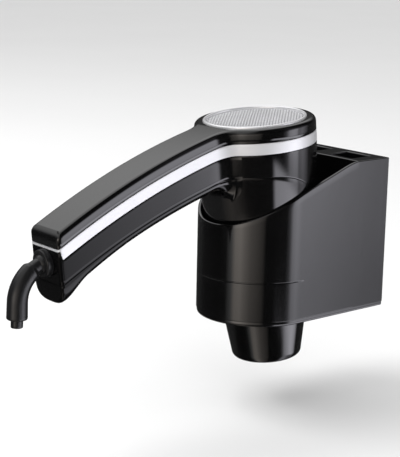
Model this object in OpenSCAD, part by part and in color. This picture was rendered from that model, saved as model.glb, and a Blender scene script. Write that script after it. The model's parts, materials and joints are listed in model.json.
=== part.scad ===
// Wall holder for a hair dryer, with the dryer standing in it.
// Frame: +Z up, wall plane at Y = 0, the room is on the -Y side, origin at the
// centre of the wall plate's back face. All sizes are in millimetres.

/* [Holder] */
// Width of the holder
holder_w = 80; // [80:1:84]
// Height of the holder
holder_h = 102; // [100:1:106]
// Distance from the wall to the centre of the round front
front_y = 79.5; // [79.5:0.5:84]
// Wall thickness of the holder's shell
shell_t = 2.2; // [2:0.1:2.4]
// Depth of the flat top deck
deck_d = 29; // [27:1:30]
// Height of the groove round the front, above the underside
groove_h = 28.5; // [20:0.5:34]

/* [Wall fixing] */
// Hole spacing across
hole_sx = 50; // [44:1:52]
// Hole spacing up
hole_sz = 60; // [56:1:64]
// Radius of the wall screw holes
hole_r = 2.4; // [2:0.1:2.6]

/* [Dryer] */
// Length of the barrel
barrel_l = 160; // [158:0.5:164]
// Outside radius at the air outlet
mouth_r = 23; // [22.5:0.1:23.2]
// Shell thickness of the dryer
skin = 2.2; // [2:0.1:2.4]

/* [Trim] */
// Width of the bright band round the dryer
trim_w = 7.5; // [7:0.1:8]
// Depth of the rear cover behind the band
cover_d = 8.6; // [8:0.1:9]

/* [Fan and heater] */
// Number of fan blades
blades = 9; // [7:1:11]
// Radius over the fan blades
fan_r = 32.6; // [31:0.1:32.8]
// Number of turns of the heating coil
coil_turns = 9; // [6:1:11]

/* [Hidden] */
$fn = 72;
black = [0.02, 0.02, 0.022];
screw_grey = [0.55, 0.55, 0.57];
gap = 0.15;               // shut line between neighbouring mouldings
pilot_r = 1.25;           // hole a small screw bites into
clear_r = 1.7;            // hole a small screw passes through

// ---------- shared shapes ----------
// cylinder on the Z axis, standing on height z
module disc(z, r, h) {
  translate([0, 0, z]) cylinder(r = r, h = h);
}
// box centred on x = 0, with its lowest y and z given; size = [x, y, z]
module mid_box(y, z, size) {
  translate([-size[0] / 2, y, z]) cube(size);
}
module both_sides(x) {
  for (side = [-1, 1]) translate([side * x, 0, 0]) children();
}
module around(count, start = 0) {
  for (i = [0:count - 1]) rotate([0, 0, start + i * 360 / count]) children();
}
// flat polygon of [y, z] points, thickened along x to both sides
module side_slab(points, half) {
  translate([-half, 0, 0]) rotate([90, 0, 90]) linear_extrude(height = 2 * half) polygon(points);
}
// pan-head screw pointing down -Z, with the underside of its head at z = 0
module screw(length, radius, head_r, head_h) {
  difference() {
    union() {
      disc(-length, radius, length, $fn = 24);
      cylinder(r1 = head_r, r2 = head_r * 0.72, h = head_h, $fn = 24);
    }
    for (a = [0, 90]) rotate([0, 0, a]) mid_box(-head_r * 0.55, head_h - 0.9, [1, head_r * 1.1, 2]);
  }
}
function ease(t) = let(c = min(1, max(0, t))) c * c * (3 - 2 * c);
function quad(a, b, c, d) = [[a, b, c], [a, c, d]];

// curved sheet closed into a solid; outer and inner are matching grids of points
module sheet(outer, inner) {
  rows = len(outer);
  cols = len(outer[0]);
  function out(i, j) = i * cols + j;
  function inn(i, j) = (rows + i) * cols + j;
  row_ids = [0:rows - 2];
  col_ids = [0:cols - 2];
  top = rows - 1;
  end = cols - 1;
  polyhedron(points = [each each outer, each each inner], faces = concat(
    [for (i = row_ids, j = col_ids)
      each quad(out(i, j), out(i, j + 1), out(i + 1, j + 1), out(i + 1, j))],
    [for (i = row_ids, j = col_ids)
      each quad(inn(i, j), inn(i + 1, j), inn(i + 1, j + 1), inn(i, j + 1))],
    [for (j = col_ids) each quad(out(0, j), inn(0, j), inn(0, j + 1), out(0, j + 1))],
    [for (j = col_ids) each quad(out(top, j), out(top, j + 1), inn(top, j + 1), inn(top, j))],
    [for (i = row_ids) each quad(out(i, 0), out(i + 1, 0), inn(i + 1, 0), inn(i, 0))],
    [for (i = row_ids) each quad(out(i, end), inn(i, end), inn(i + 1, end), out(i + 1, end))]));
}
// faces of a tube of point rings, closed by fans on two end points listed after the rings
function tube_faces(rings, sides) = let(first = rings * sides, last = (rings - 1) * sides) concat(
  [for (i = [0:rings - 2], j = [0:sides - 1]) let(a = i * sides, b = a + sides, j2 = (j + 1) % sides)
    each quad(a + j, a + j2, b + j2, b + j)],
  [for (j = [0:sides - 1]) [first, (j + 1) % sides, j]],
  [for (j = [0:sides - 1]) [first + 1, last + j, last + (j + 1) % sides]]);

// round rod through stations [y, z, direction angle, radius, x]; x may be left out
module sweep(stations, sides = 20) {
  function x_of(s) = len(s) > 4 ? s[4] : 0;
  count = len(stations);
  rings = [for (s = stations, j = [0:sides - 1]) let(a = 360 * j / sides)
    [x_of(s) + s[3] * cos(a), s[0] - s[3] * sin(a) * sin(s[2]), s[1] + s[3] * sin(a) * cos(s[2])]];
  ends = [for (s = [stations[0], stations[count - 1]]) [x_of(s), s[0], s[1]]];
  polyhedron(points = concat(rings, ends), faces = tube_faces(count, sides));
}

// ---------- holder ----------
half_h = holder_h / 2;
half_w = holder_w / 2;
hook_x = 18;              // hooks and deck openings, to each side
hook_z = [32, -34];       // undersides of the hooks
lock_y = -12.4;           // screw that locks the holder to the wall plate's foot
cover_t = 2.9;            // thickness of the bottom cover's floor
post_x = half_w - 5.6;
// posts the bottom cover is screwed to: x, y, post radius, pilot hole length, relief radius
cover_posts = [
  [-post_x, -36, 4, 20, 4.3],
  [post_x, -36, 4, 20, 4.3],
  [0, -(front_y + half_w) + 5.4, 3.4, 14, 3.9]];
// edge of the cut-away top, from the deck to the front rim: y, drop below the top
scoop_knots = [
  [-deck_d + 3, 0], [-deck_d, 0], [-37, 1.9], [-50, 6.6], [-68, 13.2], [-85, 20.2],
  [-98, 26.4], [-108, 31.6], [-116, 35.8], [-121, 37.6], [-128, 38.4]];
// point at t between knots b and c of a Catmull-Rom curve
function spline(a, b, c, d, t) = 0.5 * (2 * b + (c - a) * t
  + (2 * a - 5 * b + 4 * c - d) * t * t + (3 * b - a - 3 * c + d) * t * t * t);
scoop = concat([[-deck_d, half_h + 5]],
  [for (i = [1:len(scoop_knots) - 3], j = [0:3])
    let(k = scoop_knots, p = spline(k[i - 1], k[i], k[i + 1], k[i + 2], j / 4))
    [p[0], half_h - p[1]]],
  [[-124, half_h - 38], [-130, half_h - 38.4], [-130, half_h + 5]]);

// holder's plan, square at the wall and round in front, from z0 up to z1;
// inset applies to the sides and the round front, wall_inset to the wall side
module holder_body(inset, wall_inset, z0, z1) {
  r = half_w - inset;
  translate([0, 0, z0]) linear_extrude(height = z1 - z0) union() {
    translate([-r, -front_y]) square([2 * r, front_y - wall_inset]);
    translate([0, -front_y]) circle(r = r, $fn = 96);
  }
}
// wall screw places, with +Z turned to point into the room
module at_wall_holes() {
  for (x = [-1, 1], z = [-1, 1])
    translate([x * hole_sx / 2, 0, z * hole_sz / 2]) rotate([90, 0, 0]) children();
}
module holder_shell() {
  inner_w = 2 * (half_w - shell_t);
  color(black) difference() {
    holder_body(0, 0, -half_h + 3, half_h);
    difference() {
      holder_body(shell_t, deck_d + shell_t, -half_h - 1, half_h + 4);
      for (p = cover_posts) translate([p[0], p[1], -half_h]) cylinder(r = p[2], h = 22, $fn = 32);
    }
    // cavities under the deck, either side of the wall that hangs on the hooks
    mid_box(-3.8, -half_h - 1, [inner_w, 4, holder_h - 1.6]);
    mid_box(-deck_d, -half_h - 1, [inner_w, deck_d - 6, holder_h - 1.6]);
    // relief for the heads of the wall screws
    at_wall_holes() disc(2, 5.4, 6, $fn = 32);
    // slots that hang on the hooks
    both_sides(hook_x) for (z = hook_z) mid_box(-7, z - 9.2, [9, 4, 11.75]);
    // notch the foot of the wall plate passes through
    mid_box(-6.8, -half_h - 1, [16, 4, 19]);
    // openings in the deck
    both_sides(hook_x) mid_box(-24.5, half_h - 5, [22, 18, 10]);
    side_slab(scoop, 60);
    // shadow groove round the front
    translate([0, 0, -half_h + groove_h]) difference() {
      holder_body(-5, 0, -0.35, 0.35);
      holder_body(0.8, -5, -1.4, 1.4);
      mid_box(-front_y + 3, -5, [120, 100, 10]);
    }
    for (p = cover_posts)
      translate([p[0], p[1], -half_h - 1]) cylinder(r = pilot_r, h = p[3], $fn = 24);
    // clearance for the barrel
    at_dryer() barrel_body(-0.9, -160, 0);
  }
}
module holder_bottom_cover() {
  floor_z = -half_h + cover_t;
  color(black) difference() {
    union() {
      holder_body(0.5, 0.4, -half_h, floor_z);
      holder_body(shell_t + 0.3, 7, floor_z - 0.1, -half_h + 5.2);
    }
    holder_body(shell_t + 2.3, 9.2, floor_z, -half_h + 6);
    // outlet opening
    at_dryer() disc(-137, 30, 20);
    // slot for the shell's wall under the deck's front edge
    mid_box(-deck_d - shell_t - 0.3, floor_z - 0.05, [90, shell_t + 0.6, 8]);
    // screw holes, sunk for the heads below and relieved for the posts above
    for (p = cover_posts) translate([p[0], p[1], -half_h - 1]) {
      cylinder(r = clear_r, h = 20, $fn = 24);
      cylinder(r = 3.4, h = 2.4, $fn = 32);
      disc(3.9, p[4], 8, $fn = 32);
    }
    translate([0, lock_y, -half_h - 1]) cylinder(r = 2.1, h = 20, $fn = 24);
  }
}
module bottom_cover_screws() {
  color(screw_grey) for (p = cover_posts)
    translate([p[0], p[1], -half_h + 1.35]) rotate([180, 0, 0]) screw(9, 1.2, 3.1, 1.3);
}
module lock_screw() {
  color(screw_grey) translate([0, lock_y, -half_h - 0.05]) rotate([180, 0, 0])
    screw(7.5, 1.9, 3.4, 1.8);
}
module seat_funnel() {
  z0 = -128;
  z1 = -84;
  function wall(offset, order) =
    [for (i = order) let(z = z0 + (z1 - z0) * i / 8) [barrel_r(z) + offset, z]];
  color([0.05, 0.05, 0.05]) intersection() {
    at_dryer() rotate_extrude() polygon(concat(wall(0.9, [0:8]), wall(2.7, [8:-1:0])));
    translate([-60, -160, -half_h + 3.1]) cube([120, 160, 120]);
  }
}
module seat_ring() {
  // profile: height along the barrel, offset from its surface at reference height
  profile = [
    [-83.8, 0.06, -83.8], [-83.8, 2.5, -83.8], [-82.4, 2.9, -83.8],
    [-79, 1.6, -79], [-78.8, 0.3, -79], [-80.5, 0.06, -80.5]];
  color([0.12, 0.12, 0.12]) at_dryer() rotate_extrude()
    polygon([for (p = profile) [barrel_r(p[2]) + p[1], p[0]]]);
}
module wall_plate() {
  color([0.08, 0.08, 0.085]) difference() {
    union() {
      mid_box(-3, -44, [70, 3, 88]);
      both_sides(hook_x) for (z = hook_z) {
        mid_box(-9.4, z, [7, 7, 2.5]);
        mid_box(-9.4, z, [7, 2.4, 9]);
      }
      // foot that the lock screw enters, with two ribs
      mid_box(-18, -44, [14, 15.5, 3]);
      both_sides(5.5) mid_box(-12, -42, [2.4, 9.5, 8]);
    }
    at_wall_holes() {
      disc(-1, hole_r, 6, $fn = 32);
      translate([0, 0, 1.5]) cylinder(r1 = hole_r, r2 = hole_r + 2.2, h = 1.6, $fn = 32);
    }
    translate([0, lock_y, -50]) cylinder(r = 2.3, h = 20, $fn = 24);
  }
}

// ---------- curves of the dryer ----------
// Dryer frame: z along the barrel, rear at +z and outlet at -z; the grip runs towards -y.
dryer_tilt = 6;           // lean of the dryer in the holder
dryer_y = -85.5;
dryer_z = 78.2;
rear_r = 39.3;            // outside radius at the rear of the barrel
rear_z = 0.8;             // rear face of the rim
straight_l = 15;          // barrel length at the rear before the taper
grip_t = 30;              // thickness of the grip, side to side
grip_half_t = grip_t / 2;
grip_d = 38;              // depth of the grip, front to back
grip_end = 166;           // from the barrel's axis to the end of the grip
end_y = -grip_end;
end_t = 2.4;              // wall across the grip's end
top_y = -26;              // where the grip mouldings start, inside the barrel
neck_r = 18;              // fillet between the grip and the round rear end
neck_x = grip_half_t + neck_r;
neck_y = -sqrt(pow(rear_r + neck_r, 2) - neck_x * neck_x);
neck_a = acos(neck_x / (rear_r + neck_r));
seam_z = -88.4;           // centre, half axes and half gap of the curved parting line
seam_y = -20;
seam_a = 58.25;
seam_b = 53.5;
seam_gap = 0.12;
// shut lines of the grip, as depths in front of its back line
nose_depth = 30.8;        // where the flat side meets the round front
band_depth = cover_d + trim_w; // front edge of the bright band
end_band_depth = cover_d + 1.7; // the same across the grip's end, where the band is narrow
grip_screw_y = [-66, -120];

function barrel_r(z) = rear_r
  - (rear_r - mouth_r) * pow(max(0, -straight_l - z) / (barrel_l - straight_l), 1.5);
function back_z(y, depth = 0) = let(d = max(0, -35 - y))
  rear_z - 0.135 * d - 0.00116 * d * d - depth;
// extra depth of the round front where it meets the barrel, and towards the grip's end
function fillet_z(y) = y > -50 ? 14 * (1 - sqrt(max(0, 1 - pow(min(1, (y + 50) / 15), 2)))) : 0;
function lip_z(y) = 0.0005 * pow(max(0, -94 - y), 2) + 4.4 * ease((-146 - y) / 15)
  - (y < -161 ? 8 - sqrt(max(0, 64 - pow((-161 - y) * 1.1, 2))) : 0);
function front_z(y) = back_z(y, grip_d) - fillet_z(y) - lip_z(y);
function grip_half_w(y) = y <= neck_y ? grip_half_t
  : neck_x - sqrt(max(0, neck_r * neck_r - pow(min(y, -rear_r * 0.815) - neck_y, 2)));

module at_dryer() {
  translate([0, dryer_y, dryer_z]) rotate([dryer_tilt, 0, 0]) children();
}
module at_grip_screws() {
  for (y = grip_screw_y) translate([0, y, back_z(y, band_depth)]) children();
}
// solid inside the barrel's skin
module barrel_body(inset, z0, z1, steps = 18) {
  rotate_extrude() polygon(concat([[0, z0]],
    [for (i = [0:steps]) let(z = z0 + (z1 - z0) * i / steps) [barrel_r(z) - inset, z]],
    [[0, z1]]));
}
// thick slab behind (side = 1) or in front of (side = -1) the curved parting line
module seam_region(side) {
  far_z = side > 0 ? 40 : -200;
  offset = side * seam_gap;
  side_slab(concat(
    [[-60, seam_z + seam_a + offset], [-60, far_z], [60, far_z],
      [60, seam_z - (side > 0 ? 0 : 0.01)]],
    [for (i = [20:-1:0]) let(a = 90 * i / 20)
      [seam_y + (seam_b - offset) * sin(a) + (side > 0 ? 2 * seam_gap : 0),
        seam_z + (seam_a + offset) * cos(a)]]), 60);
}
// plan of the grip with its fillets, extruded along the barrel
module grip_prism(inset = 0, y0 = top_y) {
  r = neck_r + inset;
  edge = concat([[neck_x - r * cos(neck_a), y0]],
    [for (i = [8:-1:0]) let(a = neck_a * i / 8) [neck_x - r * cos(a), neck_y + r * sin(a)]],
    [[grip_half_t - inset, end_y - (inset > 0 ? 2 : 0)]]);
  translate([0, 0, -130]) linear_extrude(height = 160)
    polygon(concat(edge, [for (i = [len(edge) - 1:-1:0]) [-edge[i][0], edge[i][1]]]));
}
// side view of the grip between two depths
module grip_strip(depth0, depth1) {
  function line(depth, order) =
    [for (i = order) let(y = top_y + (end_y - top_y) * i / 20) [y, back_z(y, depth)]];
  side_slab(concat(line(depth0, [0:20]), line(depth1, [20:-1:0])), 45);
}
// side walls of the grip between two depths
module grip_walls(depth0, depth1) {
  intersection() {
    grip_strip(depth0, depth1);
    difference() {
      grip_prism();
      grip_prism(skin, -20);
    }
  }
}
// wall across the grip's end between two depths
module grip_end_wall(depth0, depth1, inset = 0.5) {
  y1 = end_y + end_t;
  side_slab([[end_y, back_z(end_y, depth0)], [end_y, back_z(end_y, depth1)],
    [y1, back_z(y1, depth1)], [y1, back_z(y1, depth0)]], grip_half_t - inset);
}

// ---------- dryer mouldings ----------
// y stations of the round front, closer together at both ends
nose_y = [for (i = [0:24]) let(t = i / 24)
  t < 0.25 ? -30 - t / 0.25 * 22
  : t > 0.8 ? -150 - (t - 0.8) / 0.2 * (grip_end - 150)
  : -52 - (t - 0.25) / 0.55 * 98];
// row of points across the round front at y
function nose(y, inset) = let(
    z0 = back_z(y, nose_depth) - gap,
    depth = z0 - front_z(y) - inset,
    power = 0.88 - 0.2 * ease((-110 - y) / 45))
  [for (j = [0:16]) let(a = 180 * j / 16)
    [(grip_half_w(y) - inset) * sign(cos(a)) * pow(abs(cos(a)), power), y,
      z0 - depth * pow(sin(a), power)]];

module front_shell() {
  wall_y = end_y + 2.2;
  color(black) at_dryer() difference() {
    union() {
      intersection() {
        difference() {
          barrel_body(0, -barrel_l, 0);
          barrel_body(skin, -barrel_l - 1, 1);
          // opening from the barrel into the grip, for the wires
          mid_box(-45, -42.8, [12, 18, 8.3]);
        }
        seam_region(-1);
      }
      difference() {
        sheet([for (y = nose_y) nose(y, 0)], [for (y = nose_y) nose(y, skin)]);
        barrel_body(0.4, -barrel_l, 10);
      }
      // end wall of the round front
      intersection() {
        side_slab([[end_y, back_z(end_y, nose_depth) - gap], [end_y, front_z(end_y) + 2],
          [wall_y, front_z(wall_y) + 2], [wall_y, back_z(wall_y, nose_depth) - gap]],
          grip_half_t - 1.6);
        translate([0, 0, back_z(end_y, nose_depth) - 0.5]) rotate([90, 0, 0])
          cylinder(r = 60, h = 400, center = true);
      }
    }
    // switch slot
    at_slot() mid_box(-14.3, -6, [10.4, 28.6, 12]);
    ball_clearance();
  }
}
module main_housing() {
  color(black) at_dryer() difference() {
    union() {
      intersection() {
        difference() {
          barrel_body(0, -barrel_l, rear_z - band_depth - 0.1);
          barrel_body(skin, -barrel_l - 1, -10);
          side_slab(concat([for (y = [-35, -40, -45]) [y, back_z(y, band_depth + 0.05)]],
            [[-45, 10], [-35, 10]]), 30);
        }
        seam_region(1);
      }
      difference() {
        union() {
          grip_walls(nose_depth, band_depth);
          grip_end_wall(nose_depth, band_depth);
          grip_end_wall(band_depth + 1, end_band_depth, skin + gap);
          // webs across the grip, with the screw pillars on them
          for (y = grip_screw_y)
            side_slab([
              [y - 1.2, back_z(y, band_depth + 13)], [y - 1.2, back_z(y - 1.2, band_depth + 0.9)],
              [y + 1.2, back_z(y + 1.2, band_depth + 0.9)], [y + 1.2, back_z(y, band_depth + 13)]],
              grip_half_t - 0.5);
          at_grip_screws() disc(-13, 3.4, 12.3, $fn = 32);
          // bar the cord clamp is screwed to
          mid_box(-153, -53.9, [grip_t - 2, 8, 4]);
        }
        barrel_body(0.4, -barrel_l, 20);
      }
    }
    mid_box(-60, -28, [grip_t - 2 * skin, 34, 40]);
    at_clamp_screws() disc(-58, pilot_r, 12, $fn = 24);
    at_grip_screws() disc(-20, clear_r, 40, $fn = 24);
    ball_clearance();
  }
}
module trim_band() {
  z0 = rear_z - band_depth;
  color([0.78, 0.78, 0.8]) at_dryer() difference() {
    union() {
      difference() {
        disc(z0 + gap, rear_r + 0.1, trim_w - 2 * gap);
        disc(z0 - 1, rear_r - skin, trim_w + 2);
      }
      difference() {
        union() {
          grip_walls(band_depth - gap, cover_d + gap);
          grip_end_wall(end_band_depth - gap, cover_d + gap);
        }
        barrel_body(0.3, -barrel_l, 20);
      }
    }
    mid_box(-60, -40, [grip_t - 2 * skin, 34, 60]);
    ball_clearance();
  }
}
bezel_r = 33.6;
module rear_cover() {
  z0 = rear_z - cover_d + gap;
  rim = [
    [rear_r - skin, z0], [rear_r + 0.1, z0], [rear_r + 0.1, -0.4], [rear_r - 1.1, rear_z],
    [bezel_r + 0.1, rear_z], [bezel_r + 0.1, -1.4], [bezel_r - 2.2, -1.4],
    [bezel_r - 2.2, -2.6], [rear_r - skin, -2.6]];
  color(black) at_dryer() difference() {
    union() {
      rotate_extrude() polygon(rim);
      difference() {
        union() {
          grip_walls(cover_d - gap, 1);
          grip_end_wall(cover_d - gap, 1);
        }
        disc(-60, rear_r - 0.3, 100);
      }
      // back plate of the grip, running into the round rim
      difference() {
        intersection() {
          grip_strip(0.02, 2.2);
          grip_prism();
        }
        disc(-60, rear_r - 1.7, 100);
      }
      at_grip_screws() disc(0.3, 3.2, band_depth - 1.6, $fn = 32);
    }
    at_grip_screws() disc(-1, pilot_r, 12.5, $fn = 24);
  }
}
module rear_cover_screws() {
  color([0.5, 0.5, 0.52]) at_dryer() at_grip_screws()
    translate([0, 0, -13.05]) rotate([180, 0, 0]) screw(22, 1.2, 2.7, 1.6);
}
module grille_bezel() {
  color([0.85, 0.85, 0.87]) at_dryer() rotate_extrude() polygon([
    [bezel_r - 2.1, -1.3], [bezel_r, -1.3], [bezel_r, 0.9],
    [bezel_r - 0.5, 1.5], [bezel_r - 1.3, 1.9], [bezel_r - 2.1, 1.3]]);
}
module grille_mesh() {
  pitch = 6.2;            // rows lie pitch * 0.866 apart
  color([0.72, 0.72, 0.74]) at_dryer() difference() {
    disc(-1.2, bezel_r - 2.2, 1);
    for (i = [-4:4], j = [-4:4]) let(x = pitch * (i + j / 2), y = pitch * j * 0.866)
      if (x * x + y * y < 28 * 28) translate([x, y, -3]) cylinder(r = 2.1, h = 6, $fn = 16);
  }
}
module lint_filter() {
  // rings of six holes: start angle, distance from the axis, hole radius
  hole_rings = [[0, 11, 4.2], [0, 22, 6.6], [30, 26.5, 5.2]];
  color([0.2, 0.2, 0.2]) at_dryer() difference() {
    disc(-4.8, 35.4, 2);
    for (ring = hole_rings)
      around(6, ring[0]) translate([ring[1], 0, -6]) cylinder(r = ring[2], h = 5, $fn = 32);
    disc(-6, 4.5, 5, $fn = 32);
  }
}

// ---------- outlet and heater ----------
frame_z = -138;
frame_r = 21;
coil_r = 16;
coil_z = -132;
coil_pitch = 54 / coil_turns;
coil_start = 8;           // angle of the coil's first end

// sixth of a ring from r0 to r1, short of its spokes by half_rib on each side
function sector(r0, r1, half_rib) = [for (edge = [[r1, [0:6]], [r0, [6:-1:0]]])
  let(r = edge[0], a0 = asin(half_rib / r))
  for (i = edge[1]) let(a = a0 + (60 - 2 * a0) * i / 6) [r * cos(a), r * sin(a)]];
module outlet_grid() {
  color([0.06, 0.06, 0.06]) at_dryer() translate([0, 0, -148]) linear_extrude(height = 2.6)
    difference() {
      circle(r = 22.5);
      around(6) for (r = [[2, 6.4], [7.6, 13], [14.2, 20.6]]) polygon(sector(r[0], r[1], 0.6));
    }
}
module mica_sleeve() {
  color([0.8, 0.74, 0.6]) at_dryer() difference() {
    disc(-144.5, 21.8, 78);
    disc(-145.5, 21.2, 90);
  }
}
module heater_frame() {
  color([0.86, 0.8, 0.66]) at_dryer() difference() {
    union() {
      mid_box(-0.4, frame_z, [2 * frame_r, 0.8, 70]);
      mid_box(-frame_r, frame_z, [0.8, 2 * frame_r, 70]);
      difference() {
        disc(-69.6, frame_r, 1.4);
        disc(-71, 12, 5);
      }
    }
    // notches that carry the coil
    for (a = [0:90:270], i = [0:coil_turns])
      let(z = coil_z + coil_pitch * (i + (a - coil_start) / 360))
        rotate([0, 0, a]) translate([coil_r - 1.3, -1, z - 1.1]) cube([2.6, 2, 2.2]);
  }
}
module heating_coil() {
  steps = 24;             // per turn
  sides = 6;
  wire_r = 0.75;
  last = steps * coil_turns;
  function coil_point(i, r, dz) = let(a = 360 * i / steps)
    [r * cos(a), r * sin(a), coil_z + coil_pitch * i / steps + dz];
  points = concat(
    [for (i = [0:last], j = [0:sides - 1]) let(b = 360 * j / sides)
      coil_point(i, coil_r + wire_r * cos(b), wire_r * sin(b))],
    [coil_point(0, coil_r, 0), coil_point(last, coil_r, 0)]);
  color([0.6, 0.58, 0.55]) at_dryer() rotate([0, 0, coil_start])
    polyhedron(points = points, faces = tube_faces(last + 1, sides));
}
module thermostat() {
  color([0.75, 0.75, 0.77]) at_dryer() {
    translate([0.5, 3, -98]) cube([2, 6, 14]);
    translate([2.5, 4.2, -96]) cube([0.6, 3.6, 10]);
  }
}
module thermal_fuse() {
  color([0.7, 0.7, 0.72]) at_dryer() translate([-2.2, -6, 0]) {
    disc(-112, 1.7, 10, $fn = 24);
    disc(-118, 0.4, 22, $fn = 16);
  }
}

// ---------- motor and fan ----------
motor_z = -60;            // outlet end of the motor can
motor_r = 13.9;
bearing_r = 1.05;
shaft_bore_r = 0.999;     // a hair under the shaft's radius
hub_r = 9.6;
fan_z = -27;              // outlet side of the fan

module motor_can() {
  color([0.6, 0.6, 0.62]) at_dryer() difference() {
    disc(motor_z, motor_r, 30);
    disc(motor_z - 2, 12.7, 30.6);
    disc(-40, bearing_r, 20, $fn = 32);
  }
}
module motor_end_cap() {
  color([0.1, 0.1, 0.1]) at_dryer() difference() {
    union() {
      disc(motor_z - 3, motor_r, 2.9);
      disc(motor_z - 0.1, 12.6, 2.5);
    }
    disc(-62, bearing_r, 10, $fn = 32);
    both_sides(8) mid_box(-2, -70, [1.2, 4, 20]);
  }
}
module motor_board() {
  color([0.1, 0.3, 0.16]) at_dryer() {
    difference() {
      disc(-65.2, 12.5, 1.6);
      disc(-70, 3, 20, $fn = 32);
    }
    around(4, 45) translate([7, -1.3, -67.8]) cube([4.5, 2.6, 2.8]);
  }
}
module motor_shaft() {
  color([0.8, 0.8, 0.82]) at_dryer() disc(-61, 1, 49, $fn = 32);
}
module motor_rotor() {
  color([0.65, 0.4, 0.2]) at_dryer() difference() {
    union() {
      around(3) {
        translate([0, -2.2, -54]) cube([10, 4.4, 18]);
        translate([7.4, -4.6, -54]) cube([2.6, 9.2, 18]);
      }
      disc(-56.4, 3.2, 22.4, $fn = 32);
    }
    disc(-70, shaft_bore_r, 60, $fn = 32);
  }
}
module motor_mount_ring() {
  color([0.1, 0.1, 0.1]) at_dryer() difference() {
    disc(-56, 15.7, 8);
    disc(-57, motor_r + 0.05, 12);
  }
}
module fan_shroud() {
  color([0.15, 0.15, 0.15]) at_dryer() {
    // cup round the motor
    difference() {
      disc(-58, 17.4, 29.8);
      disc(-59, 15.75, 29.1);
      disc(-40, 4, 20);
    }
    // ring inside the barrel
    difference() {
      barrel_body(skin + 0.25, -37, -8.2, 12);
      barrel_body(skin + 2.05, -38, -7, 12);
    }
    // vanes from cup to ring, trimmed to the barrel
    around(7) difference() {
      translate([16.9, -0.9, -45]) cube([19, 1.8, 11]);
      difference() {
        disc(-70, 60, 60);
        barrel_body(skin + 1.2, -64, -8.2, 12);
      }
    }
  }
}
module fan_impeller() {
  root_r = hub_r - 0.4;   // blades start inside the hub's surface
  color([0.12, 0.12, 0.12]) at_dryer() {
    difference() {
      union() {
        disc(fan_z, hub_r, 11);
        translate([0, 0, fan_z + 11]) cylinder(r1 = hub_r, r2 = 5, h = 4.2);
      }
      disc(fan_z - 1, 7.6, 10);
      disc(-30, shaft_bore_r, 18.01, $fn = 32);
    }
    around(blades) intersection() {
      translate([root_r, 0, -20.5]) rotate([52, 0, 0]) translate([0, -8, -0.7])
        cube([fan_r - 8.6, 16, 1.4]);
      translate([0, 0, fan_z]) difference() {
        cylinder(r = fan_r, h = 14);
        disc(-1, root_r, 30);
      }
    }
  }
}

// ---------- switch ----------
slot_y = -82.5;           // centre of the switch slot on the grip
grip_slope = 13.7;
// slot frame: +Z points out of the round front, y runs along the grip
module at_slot(along = 0) {
  translate([0, slot_y, front_z(slot_y)]) rotate([180 + grip_slope, 0, 0])
    translate([0, along, 0]) children();
}
module switch_button() {
  color([0.8, 0.8, 0.82]) at_dryer() at_slot(-8.8) {
    difference() {
      mid_box(-4.8, -5.1, [9.6, 9.6, 6.9]);
      for (y = [-3:2:3]) mid_box(y - 0.35, 1.3, [12, 0.7, 2]);
    }
    mid_box(-2, -9.4, [3.2, 4, 4.5]);
  }
}
module switch_carrier() {
  color([0.03, 0.03, 0.03]) at_dryer() at_slot() difference() {
    mid_box(-19, -6.5, [14, 38, 1.3]);
    mid_box(-12.4, -8, [3.8, 24.8, 6]);
  }
}
module switch_body() {
  color([0.08, 0.08, 0.1]) at_dryer() at_slot() difference() {
    union() {
      mid_box(-15, -17.6, [11.2, 30, 11]);
      for (y = [-10, 0, 10]) mid_box(y - 1.4, -22.6, [0.8, 2.8, 5.2]);
    }
    mid_box(-12.6, -10, [4.4, 25.2, 6]);
  }
}

// ---------- cord ----------
ball_y = -(grip_end + 1.5); // centre of the cord's ball joint
ball_z = -55.6;
ball_r = 6;
seat_r = ball_r + 0.06;   // socket the ball turns in
cord_r = 3.65;
bore_r = 3.7;             // hole through the boot
bend_r = 22;
lean = 4;                 // angle the boot hangs at where it leaves the ball
bend_end = 82;            // angle where the bend stops
deg_per_rad = 57.2958;
bend_l = (bend_end - lean) / deg_per_rad * bend_r;
boot_l = 40;
boot_s = [1, 3, 5, 7.2, 8.2, 9.2, 10.2, 13, 16, 19, 22, 25, 28, 31, 34, 37, 39, boot_l];

// sweep station at distance s along the cord's path from the ball's centre
function path_station(s, radius) = let(
    a = min(bend_end, lean + s / bend_r * deg_per_rad),
    rest = max(0, s - bend_l))
  [ball_y - bend_r * (sin(a) - sin(lean)) - rest * cos(a),
    ball_z - bend_r * (cos(lean) - cos(a)) - rest * sin(a), 180 + a, radius];
// sweep station inside the grip, on the straight line before the ball
function lead_station(before, radius) =
  [ball_y + before * cos(lean), ball_z + before * sin(lean), 180 + lean, radius];
function boot_r(s) = 4.5 + 1.4 * ease((s - 7.2) / 3) + 0.35 * max(0, s - 10.2) / (boot_l - 10.2)
  - (s == boot_l ? 0.5 : 0);

module ball_clearance() {
  translate([0, ball_y, ball_z]) sphere(r = ball_r + 0.8);
}
module at_clamp_screws() {
  both_sides(8) translate([0, -149, 0]) children();
}
module cord_socket() {
  inner_y = 1.4;          // from the ball's centre, along the grip
  outer_y = -2.6;
  color([0.04, 0.04, 0.04]) at_dryer() translate([0, ball_y, ball_z]) rotate([-90, 0, 0])
    rotate_extrude() polygon(concat(
      [[8.4, inner_y], [8.4, outer_y + 0.8], [7.6, outer_y], [6.9, outer_y],
        [5.75, outer_y + 0.4]],
      [for (i = [0:10]) let(y = -2.2 + (inner_y + 2.2) * i / 10)
        [sqrt(seat_r * seat_r - y * y), y]]));
}
module cord_boot() {
  color([0.03, 0.03, 0.03]) at_dryer() difference() {
    union() {
      translate([0, ball_y, ball_z]) sphere(r = ball_r);
      sweep([for (s = boot_s) path_station(s, boot_r(s))], 24);
    }
    sweep([lead_station(12, bore_r),
      for (s = [each [0:4:36], boot_l + 1]) path_station(s, bore_r)]);
  }
}
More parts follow.
